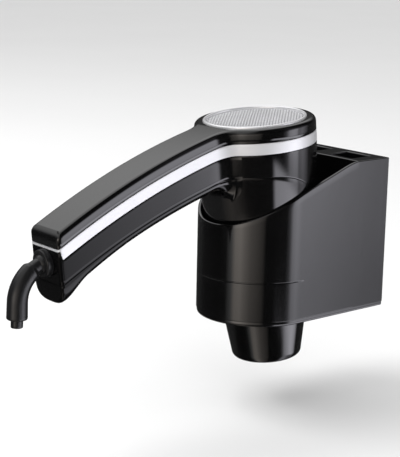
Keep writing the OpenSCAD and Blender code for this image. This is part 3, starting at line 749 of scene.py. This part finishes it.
def make_holder_wall():
    arc = round_arc(EDGE_R, 6)
    # profile above the outer face: (inset, drop from the top edge)
    crown = arc[1:] + [(WALL - d, drop) for d, drop in reversed(arc)] + [(WALL, 6)]
    lines = {d: wall_line(d) for d in [0.0, 0.12, 0.5] + [d for d, _ in crown]}
    rows = []
    for i, outer in enumerate(lines[0.0]):
        y, top = outer[1], wall_top(outer[1])
        foot_in, eased = lines[0.5][i], lines[0.12][i]
        column = [(*foot_in, WALL_FOOT), (*eased, WALL_FOOT + 0.03),
                  (*outer, WALL_FOOT + 0.25), (*outer, WALL_FOOT + 0.45)]
        for k in range(1, 6):
            column.append((*outer, WALL_FOOT + (GROOVE_Z - 0.75 - WALL_FOOT) * k / 6))
        # the groove fades out at the flat sides
        fade = smoothstep((-y - (FLAT_END - 4.0)) / 9.0)
        for dz, depth in GROOVE:
            column.append((*toward(outer, foot_in, depth * fade / 0.5), GROOVE_Z + dz))
        z0 = GROOVE_Z + 0.75
        for k in range(1, 16):
            column.append((*outer, z0 + (top - EDGE_R - z0) * k / 15))
        column += [(*lines[d][i], top - drop) for d, drop in crown]
        column.append((*lines[WALL][i], WALL_FOOT))
        rows.append(column)
    builder = MeshBuilder(from_holder)
    builder.grid(rows)
    return builder.make("holder_wall", sharp=50)


def make_deck():
    """rear box of the holder: flat deck with two openings, and a recess for the wall plate"""
    top, foot = HALF_HEIGHT, WALL_FOOT
    opening_z = top - 9
    recess_top, recess_y = top - 1.6, -3.8
    x_in = HALF_WIDTH - WALL
    xs = [-HALF_WIDTH, -x_in, -29, -7, 7, 29, x_in, HALF_WIDTH]
    ys = [0, -6.5, -24.5, -DECK]
    bm = bmesh.new()
    corners = {}

    def face(*points):
        for p in points:
            if p not in corners:
                corners[p] = bm.verts.new(from_holder(p))
        bm.faces.new([corners[p] for p in points])

    for i in range(7):
        for j in range(3):
            x0, x1, y0, y1 = xs[i], xs[i + 1], ys[j], ys[j + 1]
            cell = [(x0, y0), (x1, y0), (x1, y1), (x0, y1)]
            if i in (2, 4) and j == 1:
                # four walls of an opening
                for a, b in zip(cell, cell[1:] + cell[:1]):
                    face((*a, top), (*b, top), (*b, opening_z), (*a, opening_z))
            else:
                face(*[(*p, top) for p in cell])
    for y0, y1 in zip(ys, ys[1:]):
        for x in (-HALF_WIDTH, HALF_WIDTH):
            face((x, y0, top), (x, y1, top), (x, y1, foot), (x, y0, foot))
    # back edge, a frame round the recess
    for side in (-1, 1):
        x, xi = side * HALF_WIDTH, side * x_in
        face((x, 0, top), (x, 0, foot), (xi, 0, foot), (xi, 0, recess_top))
    for side in (-1, 1):
        x, xi = side * HALF_WIDTH, side * x_in
        face((x, 0, top), (xi, 0, top), (xi, 0, recess_top))
    for x0, x1 in zip(xs[1:6], xs[2:7]):
        face((x0, 0, top), (x1, 0, top), (x1, 0, recess_top), (x0, 0, recess_top))
    # front of the box
    for x0, x1 in zip(xs[1:6], xs[2:7]):
        face((x0, -DECK, top), (x1, -DECK, top), (x1, -DECK, foot), (x0, -DECK, foot))
    # recess: sides, top and front
    for x in (-x_in, x_in):
        face((x, 0, recess_top), (x, 0, foot), (x, recess_y, foot), (x, recess_y, recess_top))
    face((-x_in, 0, recess_top), (x_in, 0, recess_top),
         (x_in, recess_y, recess_top), (-x_in, recess_y, recess_top))
    face((-x_in, recess_y, recess_top), (x_in, recess_y, recess_top),
         (x_in, recess_y, foot), (-x_in, recess_y, foot))
    bmesh.ops.recalc_face_normals(bm, faces=bm.faces)

    # round the top edges and the upright back corners
    weight = bm.edges.layers.float.new("bevel_weight_edge")
    for edge in bm.edges:
        if len(edge.link_faces) != 2 or edge.calc_face_angle(0.0) <= 0.7:
            continue
        ends = [v.co / MM for v in edge.verts]
        on_top = all(abs(p.z - top) < 0.01 for p in ends)
        back_corner = all(abs(p.y) < 0.01 and abs(abs(p.x) - HALF_WIDTH) < 0.01 for p in ends)
        if on_top or back_corner:
            edge[weight] = 1.0
    ob = new_obj("deck")
    bm.to_mesh(ob.data)
    bm.free()
    bevel = ob.modifiers.new("bev", 'BEVEL')
    bevel.limit_method = 'WEIGHT'
    bevel.width = EDGE_R * MM
    bevel.segments = 5
    apply_modifiers(ob)

    # a narrow border keeps the shading of the large faces flat
    bm = bmesh.new()
    bm.from_mesh(ob.data)
    large = [f for f in bm.faces if f.calc_area() > 2e-5]
    bmesh.ops.inset_individual(bm, faces=large, thickness=0.0003)
    bm.to_mesh(ob.data)
    bm.free()
    shade_obj(ob, 50)
    return ob


def make_holder():
    """wall and deck as one mesh"""
    ob = make_holder_wall()
    deck = make_deck()
    bm = bmesh.new()
    bm.from_mesh(ob.data)
    bm.from_mesh(deck.data)
    bm.to_mesh(ob.data)
    bm.free()
    bpy.data.objects.remove(deck)
    ob.name = "holder_shell_skin"
    return ob


def plate_outline(inset):
    back_y = -0.4 - inset
    half = HALF_WIDTH - PLATE_INSET - inset
    sides = wall_line(PLATE_INSET + inset, side_steps=24, round_steps=110, back_y=back_y)
    return sides + [(-half + 2 * half * i / 20, back_y) for i in range(1, 20)]


def make_bottom_cover():
    """base plate with a rounded edge and the opening the nozzle passes through"""
    top, bottom, edge_r = -HALF_HEIGHT + 2.9, -HALF_HEIGHT, 0.9
    hole_rx, hole_ry = 30.0, 30.15
    hole_y = from_dryer((0, 0, -132))[1] / MM

    def level(points, z):
        return [(x, y, z) for x, y in points]

    loops = [level(plate_outline(inset), z)
             for inset, z in ((3.0, top), (0.05, top), (0, top - 0.15))]
    for inward, drop in round_arc(edge_r, 6):
        loops.append(level(plate_outline(inward), bottom + drop))
    # underside runs in to the opening
    rim = plate_outline(edge_r)
    hole = []
    for x, y in rim:
        a = atan2(y - hole_y, x)
        hole.append((hole_rx * cos(a), hole_y + hole_ry * sin(a)))
    for t in (0.3, 0.6, 0.85, 0.97):
        loops.append(level([toward(p, q, t) for p, q in zip(rim, hole)], bottom))
    loops.append(level(hole, bottom + 0.3))
    loops.append(level(hole, top))
    builder = MeshBuilder(from_holder)
    builder.grid(columns(loops), close_rows=True)
    return builder.make("bottom_cover_plate", sharp=50)


# ------------------------------------------------------------------ shader helpers
class Graph:
    """Short ways of adding and linking shader nodes."""

    def __init__(self, owner):
        self.tree = owner.node_tree

    def feed(self, node, inputs):
        """set or link each input; colours are given as three numbers"""
        for key, value in inputs.items():
            socket = node.inputs[key]
            if isinstance(value, bpy.types.NodeSocket):
                self.tree.links.new(value, socket)
            elif socket.type == 'RGBA':
                socket.default_value = (*value, 1)
            else:
                socket.default_value = value

    def add(self, kind, inputs, **settings):
        node = self.tree.nodes.new(kind)
        for key, value in settings.items():
            setattr(node, key, value)
        self.feed(node, inputs)
        return node

    def calc(self, operation, *values):
        node = self.add("ShaderNodeMath", dict(enumerate(values)), operation=operation)
        return node.outputs[0]

    def scaled(self, value, by, plus):
        return self.calc('ADD', self.calc('MULTIPLY', value, by), plus)

    def vector_calc(self, operation, a, b):
        return self.add("ShaderNodeVectorMath", {0: a, 1: b}, operation=operation).outputs[0]

    def split(self, vector):
        return self.add("ShaderNodeSeparateXYZ", {0: vector}).outputs

    def noise(self, vector, scale, detail, rough=0.5):
        return self.add("ShaderNodeTexNoise", {"Scale": scale, "Detail": detail,
                                               "Roughness": rough, "Vector": vector}).outputs["Fac"]

    def cells(self, vector, scale):
        node = self.add("ShaderNodeTexVoronoi", {"Scale": scale, "Vector": vector})
        return node.outputs["Distance"]

    def ramp(self, factor, stops):
        """stops: (position, grey value or colour)"""
        node = self.add("ShaderNodeValToRGB", {0: factor})
        elements = node.color_ramp.elements
        while len(elements) < len(stops):
            elements.new(0.5)
        for element, (position, c) in zip(elements, stops):
            element.position = position
            element.color = (*c, 1) if isinstance(c, tuple) else (c, c, c, 1)
        return node.outputs["Color"]

    def mix(self, factor, a, b):
        return self.add("ShaderNodeMix", {0: factor, 6: a, 7: b}, data_type='RGBA').outputs[2]

    def rounded(self, radius):
        """normal that rounds edges off"""
        return self.add("ShaderNodeBevel", {"Radius": radius}, samples=4).outputs["Normal"]

    def bump(self, height, strength, distance, normal=None):
        inputs = {"Strength": strength, "Distance": distance, "Height": height}
        if normal is not None:
            inputs["Normal"] = normal
        return self.add("ShaderNodeBump", inputs).outputs["Normal"]


def new_material(name):
    """material, its graph, its principled shader and the object coordinates"""
    mat = bpy.data.materials.new(name)
    mat.use_nodes = True
    graph = Graph(mat)
    coords = graph.add("ShaderNodeTexCoord", {}).outputs["Object"]
    return mat, graph, graph.tree.nodes["Principled BSDF"], coords


def tint(color, by):
    return tuple(c * by for c in color)


def dryer_coords(g, coords):
    """coordinates in the dryer's own axes, in metres"""
    origin = Matrix.Rotation(-TILT, 3, 'X') @ Vector((0, DRYER_Y * MM, DRYER_Z * MM))
    return g.add("ShaderNodeMapping", {"Vector": coords, "Rotation": (-TILT, 0, 0),
                                       "Location": tuple(-origin)}).outputs["Vector"]


# ------------------------------------------------------------------ materials
def gloss_black(name, shaded_grip=False):
    """polished black moulding: clear coat, faint orange peel, hairline marks, specks of dust"""
    mat, g, shader, coords = new_material(name)
    black, dust_color = 0.0024, (0.32, 0.31, 0.3)
    broad = g.noise(coords, scale=38, detail=4)
    fine = g.noise(coords, scale=620, detail=2)
    stretched = g.add("ShaderNodeMapping", {"Scale": (60, 900, 420), "Rotation": (0.35, 0.9, 0.2),
                                            "Vector": coords}).outputs["Vector"]
    hairlines = g.ramp(g.noise(stretched, scale=1.6, detail=2),
                       [(0.0, 0.0), (0.62, 0.0), (0.72, 1.0)])
    # dust: small dots, kept only where a coarser noise is high
    dots = g.ramp(g.cells(coords, scale=260), [(0.0, 1.0), (0.045, 0.0)])
    patches = g.calc('GREATER_THAN', g.noise(coords, scale=90, detail=1), 0.62)
    dust = g.calc('MULTIPLY', g.calc('MULTIPLY', dots, patches), 0.07)
    color = g.mix(broad, tint((0.8, 0.8, 0.86), by=black), tint((1.25, 1.22, 1.25), by=black))
    roughness = g.calc('ADD', g.scaled(broad, by=0.05, plus=0.075),
                       g.calc('MULTIPLY', hairlines, 0.03))
    g.feed(shader, {"Base Color": g.mix(dust, color, dust_color), "Roughness": roughness,
                    "IOR": 1.5, "Coat Weight": 0.55, "Coat Roughness": 0.035, "Coat IOR": 1.5})
    if shaded_grip:
        # painted shade: specular and coat weight fall off towards the handle's end, dimming its
        # reflection; the fall-off runs from grip_end (holder y, m) over grip_span
        grip_end, grip_span = 0.26, 0.16
        along = g.calc('MULTIPLY', g.calc('ADD', g.split(coords)["Y"], grip_end), 1.0 / grip_span)
        gloss = g.ramp(along, [(0.0, 0.2), (0.3, 0.3), (0.62, 0.42), (0.78, 0.6), (0.88, 1.0),
                               (1.0, 1.0)])
        g.feed(shader, {"Specular IOR Level": g.calc('MULTIPLY', gloss, 0.5),
                        "Coat Weight": g.calc('MULTIPLY', gloss, 0.55)})
    peel = g.calc('ADD', g.calc('MULTIPLY', broad, 0.9), g.calc('MULTIPLY', fine, 0.06))
    normal = g.bump(peel, strength=0.05, distance=0.0006)
    g.feed(shader, {"Normal": normal, "Coat Normal": normal})
    return mat


def matte(name, color, rough):
    """fine-textured moulded plastic"""
    mat, g, shader, coords = new_material(name)
    grain = g.noise(coords, scale=900, detail=4, rough=0.6)
    cloud = g.noise(coords, scale=30, detail=3)
    g.feed(shader, {
        "Base Color": g.mix(cloud, tint(color, by=0.8), tint(color, by=1.25)),
        "Roughness": g.scaled(grain, by=0.2, plus=rough - 0.1),
        "Normal": g.bump(grain, strength=0.25, distance=0.0003, normal=g.rounded(0.0004))})
    return mat


def rubber(name, color, rough):
    """smooth soft rubber with a low sheen and faint moulding texture"""
    mat, g, shader, coords = new_material(name)
    grain = g.noise(coords, scale=1400, detail=3)
    cloud = g.noise(coords, scale=45, detail=4)
    g.feed(shader, {
        "Base Color": g.mix(cloud, tint(color, by=0.75), tint(color, by=1.6)),
        "Roughness": g.scaled(cloud, by=0.16, plus=rough - 0.08),
        "Sheen Weight": 0.02,
        "Normal": g.bump(grain, strength=0.12, distance=0.0002)})
    return mat


def brushed(name, color, rough, metallic, strength, circular=False):
    """satin metal; its fine lines follow the trim band, or circle the barrel's axis"""
    mat, g, shader, coords = new_material(name)
    x, y, z = g.split(dryer_coords(g, coords))
    if circular:
        across = g.calc('SQRT', g.calc('ADD', g.calc('MULTIPLY', x, x),
                                       g.calc('MULTIPLY', y, y)))
    else:
        # height above the band's own curve, the same curve as back_z but in metres
        beyond = g.calc('MAXIMUM', g.calc('SUBTRACT', -BEND_START * MM, y), 0.0)
        curve = g.calc('ADD', g.calc('MULTIPLY', beyond, BEND_SLOPE),
                       g.calc('MULTIPLY', g.calc('MULTIPLY', beyond, beyond), BEND_CURVE / MM))
        across = g.calc('ADD', z, curve)
    along_scale, across_scale = 6.0, 5200.0     # long along the lines, fine across them
    stretched = g.add("ShaderNodeCombineXYZ", {0: g.calc('MULTIPLY', x, along_scale),
                                               1: g.calc('MULTIPLY', y, along_scale),
                                               2: g.calc('MULTIPLY', across, across_scale)})
    lines = g.noise(stretched.outputs[0], scale=1.0, detail=3, rough=0.65)
    cloud = g.noise(coords, scale=24, detail=3)
    g.feed(shader, {
        "Base Color": g.mix(lines, tint(color, by=0.86), color),
        "Metallic": metallic,
        "Roughness": g.calc('ADD', g.scaled(lines, by=0.14, plus=rough - 0.07),
                            g.calc('MULTIPLY', cloud, 0.05)),
        "Normal": g.bump(lines, strength=strength, distance=0.00012)})
    return mat


def metal(name, color, rough=0.3, bevel=0.0002, grain_scale=300, metallic=1.0):
    mat, g, shader, coords = new_material(name)
    grain = g.noise(coords, scale=grain_scale, detail=4)
    cloud = g.noise(coords, scale=40, detail=3)
    g.feed(shader, {
        "Base Color": g.mix(cloud, tint(color, by=0.8), color),
        "Metallic": metallic,
        "Roughness": g.scaled(grain, by=0.18, plus=rough - 0.08),
        "Normal": g.bump(grain, strength=0.08, distance=0.0002, normal=g.rounded(bevel))})
    return mat


def mica(name):
    """mottled tan board with pale flakes"""
    mat, g, shader, coords = new_material(name)
    mottle = g.noise(coords, scale=160, detail=6, rough=0.65)
    flakes = g.calc('MULTIPLY', g.cells(coords, scale=500), 0.5)
    tan = g.mix(mottle, (0.42, 0.34, 0.2), (0.68, 0.6, 0.42))
    g.feed(shader, {
        "Base Color": g.mix(flakes, tan, (0.86, 0.8, 0.62)),
        "Roughness": g.scaled(mottle, by=0.3, plus=0.3),
        "Normal": g.bump(mottle, strength=0.3, distance=0.0003)})
    return mat


MATERIALS = {
    "holder_black": gloss_black("holder_gloss_black"),
    "dryer_black": gloss_black("dryer_gloss_black"),
    "silver_trim": brushed("trim_satin_silver", (0.80, 0.80, 0.82), rough=0.4, metallic=0.45,
                           strength=0.2),
    "bright_chrome": brushed("bezel_bright_metal", (0.92, 0.92, 0.94), rough=0.22,
                             metallic=0.55, strength=0.05, circular=True),
    "mesh_steel": metal("grille_disc_steel", (0.62, 0.62, 0.64), rough=0.45),
    "silver_button": metal("switch_silver", (0.85, 0.85, 0.87), rough=0.28, grain_scale=700),
    "plate_plastic": matte("moulded_black", (0.02, 0.02, 0.021), rough=0.5),
    "seat_rubber": rubber("seat_rubber", (0.018, 0.018, 0.018), rough=0.6),
    "cord_rubber": rubber("cord_rubber", (0.0055, 0.0055, 0.006), rough=0.3),
    "screw_steel": metal("zinc_screw", (0.62, 0.62, 0.64)),
    "can_steel": metal("motor_can_metal", (0.58, 0.58, 0.6), rough=0.35),
    "mica": mica("mica_board"),
    "coil_wire": metal("resistance_wire", (0.5, 0.45, 0.4), rough=0.4),
    "copper_winding": metal("copper_winding", (0.75, 0.38, 0.2), rough=0.35),
    "board_green": matte("circuit_board", (0.03, 0.17, 0.08), rough=0.4),
    "wire_brown": matte("wire_brown", (0.2, 0.09, 0.04), rough=0.45),
    "wire_blue": matte("wire_blue", (0.03, 0.1, 0.38), rough=0.45),
}
# the dryer's black with painted shade on its reflection towards the handle's end
GRIP_BLACK = gloss_black("dryer_gloss_black_grip_painted_shade", shaded_grip=True)
WEAVE_STEEL = metal("weave_steel", (0.8, 0.8, 0.82), rough=0.36, bevel=0.0, grain_scale=900,
                    metallic=0.6)

slot_of = {part["node"]: part["material_slot"] for part in frame["record"]["subparts"]}
for name, ob in frame["nodes"].items():
    mat = MATERIALS[slot_of[name]]
    if not ob.data.materials:
        ob.data.materials.append(mat)
    for i in range(len(ob.data.materials)):
        ob.data.materials[i] = mat

# ------------------------------------------------------------------ build the visible pieces
# (builder, body it rides on, slot, material if not the slot's own, CAD piece it replaces)
PIECES = (
    (make_holder, "wall_holder", "holder_black", None, "holder_shell"),
    (make_bottom_cover, "wall_holder", "holder_black", None, "holder_bottom_cover"),
    (make_front_shell, "dryer", "dryer_black", GRIP_BLACK, "front_shell"),
    (make_main_housing, "dryer", "dryer_black", GRIP_BLACK, "main_housing"),
    (make_trim, "dryer", "silver_trim", None, "trim_band"),
    (make_rear_cover, "dryer", "dryer_black", None, "rear_cover"),
    (make_bezel, "dryer", "bright_chrome", None, "grille_bezel"),
    (make_weave, "dryer", "mesh_steel", WEAVE_STEEL, None),
    (make_button, "switch", "silver_button", None, "switch_button"),
    (make_socket, "dryer", "plate_plastic", MATERIALS["cord_rubber"], "cord_socket"),
    (make_boot, "cord", "cord_rubber", None, "cord_boot"),
    (make_cord, "cord", "cord_rubber", None, "power_cord"),
)
for make_piece, body, slot, mat, cad_piece in PIECES:
    ob = make_piece()
    ob.data.materials.clear()
    ob.data.materials.append(mat or MATERIALS[slot])
    for polygon in ob.data.polygons:
        polygon.material_index = 0
    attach(ob, body)
    if cad_piece:
        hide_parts(cad_piece)


# ------------------------------------------------------------------ floor, camera and lights
def make_floor():
    half, below = 60, 0.03      # metres; below the CAD pieces
    z = min(cad_box[0][2], cad_box[1][2]) - below
    floor = new_obj("floor", [(-half, -half, z), (half, -half, z), (half, half, z),
                              (-half, half, z)], [(0, 1, 2, 3)])
    mat, g, shader, coords = new_material("pale_floor")
    cloud = g.noise(coords, scale=3, detail=4)
    g.feed(shader, {"Base Color": g.mix(cloud, (0.79, 0.79, 0.79), (0.82, 0.82, 0.82)),
                    "Roughness": 0.9, "Specular IOR Level": 0.1})
    floor.data.materials.append(mat)
    floor.visible_glossy = False


def make_camera():
    azimuth, elevation, roll = radians(50.48), radians(12.6), radians(1.2)
    # camera from the foot of the holder at the wall, along its own axes (mm)
    shift_right, shift_up, distance = -98.78, 44.86, 941.96
    level = Vector((cos(azimuth), sin(azimuth), 0))
    back = Vector((sin(azimuth) * cos(elevation), -cos(azimuth) * cos(elevation),
                   sin(elevation)))
    upright = back.cross(level)
    right = level * cos(roll) + upright * sin(roll)
    up = upright * cos(roll) - level * sin(roll)
    place = (right * shift_right + up * shift_up + back * distance
             - Vector((0, 0, HALF_HEIGHT))) * MM
    data = bpy.data.cameras.new("camera")
    data.lens = 105.321663
    data.sensor_width = 36.0
    data.clip_start = 0.01
    data.clip_end = 200
    camera = link_obj("camera", data)
    camera.matrix_world = Matrix((*zip(right, up, back, place), (0, 0, 0, 1)))
    bpy.context.scene.camera = camera


def area_light(name, location, size, power):
    """square light aimed at the holder, unseen in reflections"""
    target = Vector((0, -0.1, 0))
    data = bpy.data.lights.new(name, 'AREA')
    data.shape = 'RECTANGLE'
    data.size = data.size_y = size
    data.energy = power
    light = link_obj(name, data)
    light.location = location
    light.rotation_euler = (target - Vector(location)).to_track_quat('-Z', 'Y').to_euler()
    light.visible_glossy = False


# ------------------------------------------------------------------ world
WARM, COOL, GREY = (1.05, 0.96, 0.88), (0.985, 0.975, 1.06), (1.0, 1.0, 1.0)
# Panels round the horizon: (azimuth from +x towards -y in degrees, brightness, tint)
HORIZON = (
    (-180, 0.05, GREY), (-125, 0.04, GREY), (-76, 0.05, GREY), (-66, 0.5, COOL),
    (-58, 1.0, COOL), (-47.4, 0.95, COOL), (-43.4, 2.2, COOL), (-36, 2.6, COOL),
    (-27, 2.2, COOL), (-20, 0.5, COOL), (-13, 0.04, GREY), (2, 0.02, GREY), (27, 0.02, GREY),
    (33, 0.34, WARM), (55, 0.9, WARM), (66, 1.5, WARM), (74, 2.1, WARM), (84, 1.9, WARM),
    (92, 0.7, GREY), (103, 0.05, GREY), (118, 0.015, GREY), (160, 0.03, GREY), (180, 0.06, GREY))
# Lower panels, mirrored only in surfaces that lean downwards: same columns
LOWER = (
    (-180, 0.04, GREY), (-72, 0.04, GREY), (-62, 1.9, COOL), (-50, 3.0, COOL), (-25, 3.0, COOL),
    (3, 2.6, COOL), (10, 0.03, GREY), (40, 0.015, GREY), (62, 0.03, WARM), (84, 0.2, WARM),
    (100, 0.3, WARM), (125, 0.1, GREY), (180, 0.04, GREY))
# Brightness by elevation in degrees: horizon panels, lower panels, their complement, overhead
HORIZON_RISE = ((-90, 0.5), (-40, 0.5), (-24, 0.55), (-16, 0.62), (-10, 1.0), (8, 1.05),
                (20, 0.3), (34, 0.05), (90, 0.02))
LOWER_RISE = ((-90, 0.0), (-36, 0.0), (-31, 1.0), (-19, 1.0), (-17, 0.0), (90, 0.0))
NOT_LOWER = tuple((elevation, 1.0 - value) for elevation, value in LOWER_RISE)
OVERHEAD_RISE = ((-90, 0.0), (12, 0.0), (19, 0.08), (24, 0.3), (28, 0.58), (31.5, 0.82),
                 (35, 1.03), (46, 1.18), (60, 1.3), (90, 1.2))
# Overhead panel by azimuth, strongest on the -x side: (degrees, brightness)
OVERHEAD_SPAN = ((-180, 1.0), (-122, 1.0), (-100, 0.0), (40, 0.0), (70, 0.6), (120, 0.6),
                 (150, 1.0), (180, 1.0))


def make_world():
    """even pale light; polished surfaces mirror soft boxes with dark gaps between them"""
    diffuse_strength = 0.85
    world = bpy.data.worlds.new("studio")
    bpy.context.scene.world = world
    world.use_nodes = True
    g = Graph(world)
    g.tree.nodes.clear()
    x, y, z = g.split(g.add("ShaderNodeTexCoord", {}).outputs["Generated"])
    # azimuth and elevation, each scaled to 0..1
    angle = g.calc('ARCTAN2', g.calc('MULTIPLY', y, -1.0), x)
    azimuth = g.calc('ADD', g.calc('DIVIDE', angle, 2 * pi), 0.5)
    elevation = g.calc('ADD', g.calc('DIVIDE', g.calc('ARCSINE', z), pi), 0.5)

    def by_azimuth(stops):
        return g.ramp(azimuth, [((deg + 180.0) / 360.0, value) for deg, value in stops])

    def by_elevation(stops):
        return g.ramp(elevation, [((deg + 90.0) / 180.0, value) for deg, value in stops])

    def tinted(panels):
        return by_azimuth([(deg, tint(color, by=value)) for deg, value, color in panels])

    sides = g.vector_calc('MULTIPLY', tinted(HORIZON), by_elevation(HORIZON_RISE))
    sides = g.vector_calc('MULTIPLY', sides, by_elevation(NOT_LOWER))
    lower = g.vector_calc('MULTIPLY', tinted(LOWER), by_elevation(LOWER_RISE))
    sides = g.vector_calc('ADD', sides, lower)
    overhead = g.vector_calc('MULTIPLY', by_elevation(OVERHEAD_RISE), by_azimuth(OVERHEAD_SPAN))
    panels = g.vector_calc('ADD', sides, overhead)
    mirrored = g.add("ShaderNodeBackground", {0: panels, 1: 1.0})
    even = g.add("ShaderNodeBackground", {0: (1.0, 1.0, 1.0), 1: diffuse_strength})
    rays = g.add("ShaderNodeLightPath", {})
    mixed = g.add("ShaderNodeMixShader", {0: rays.outputs["Is Glossy Ray"], 1: even.outputs[0],
                                          2: mirrored.outputs[0]})
    g.add("ShaderNodeOutputWorld", {0: mixed.outputs[0]})


make_floor()
make_camera()
area_light("key", (-0.9, -0.9, 1.6), size=1.2, power=26)
area_light("fill", (1.4, -0.8, 0.7), size=1.0, power=7)
make_world()
bpy.context.scene.view_settings.view_transform = 'Standard'
bpy.context.scene.view_settings.look = 'None'
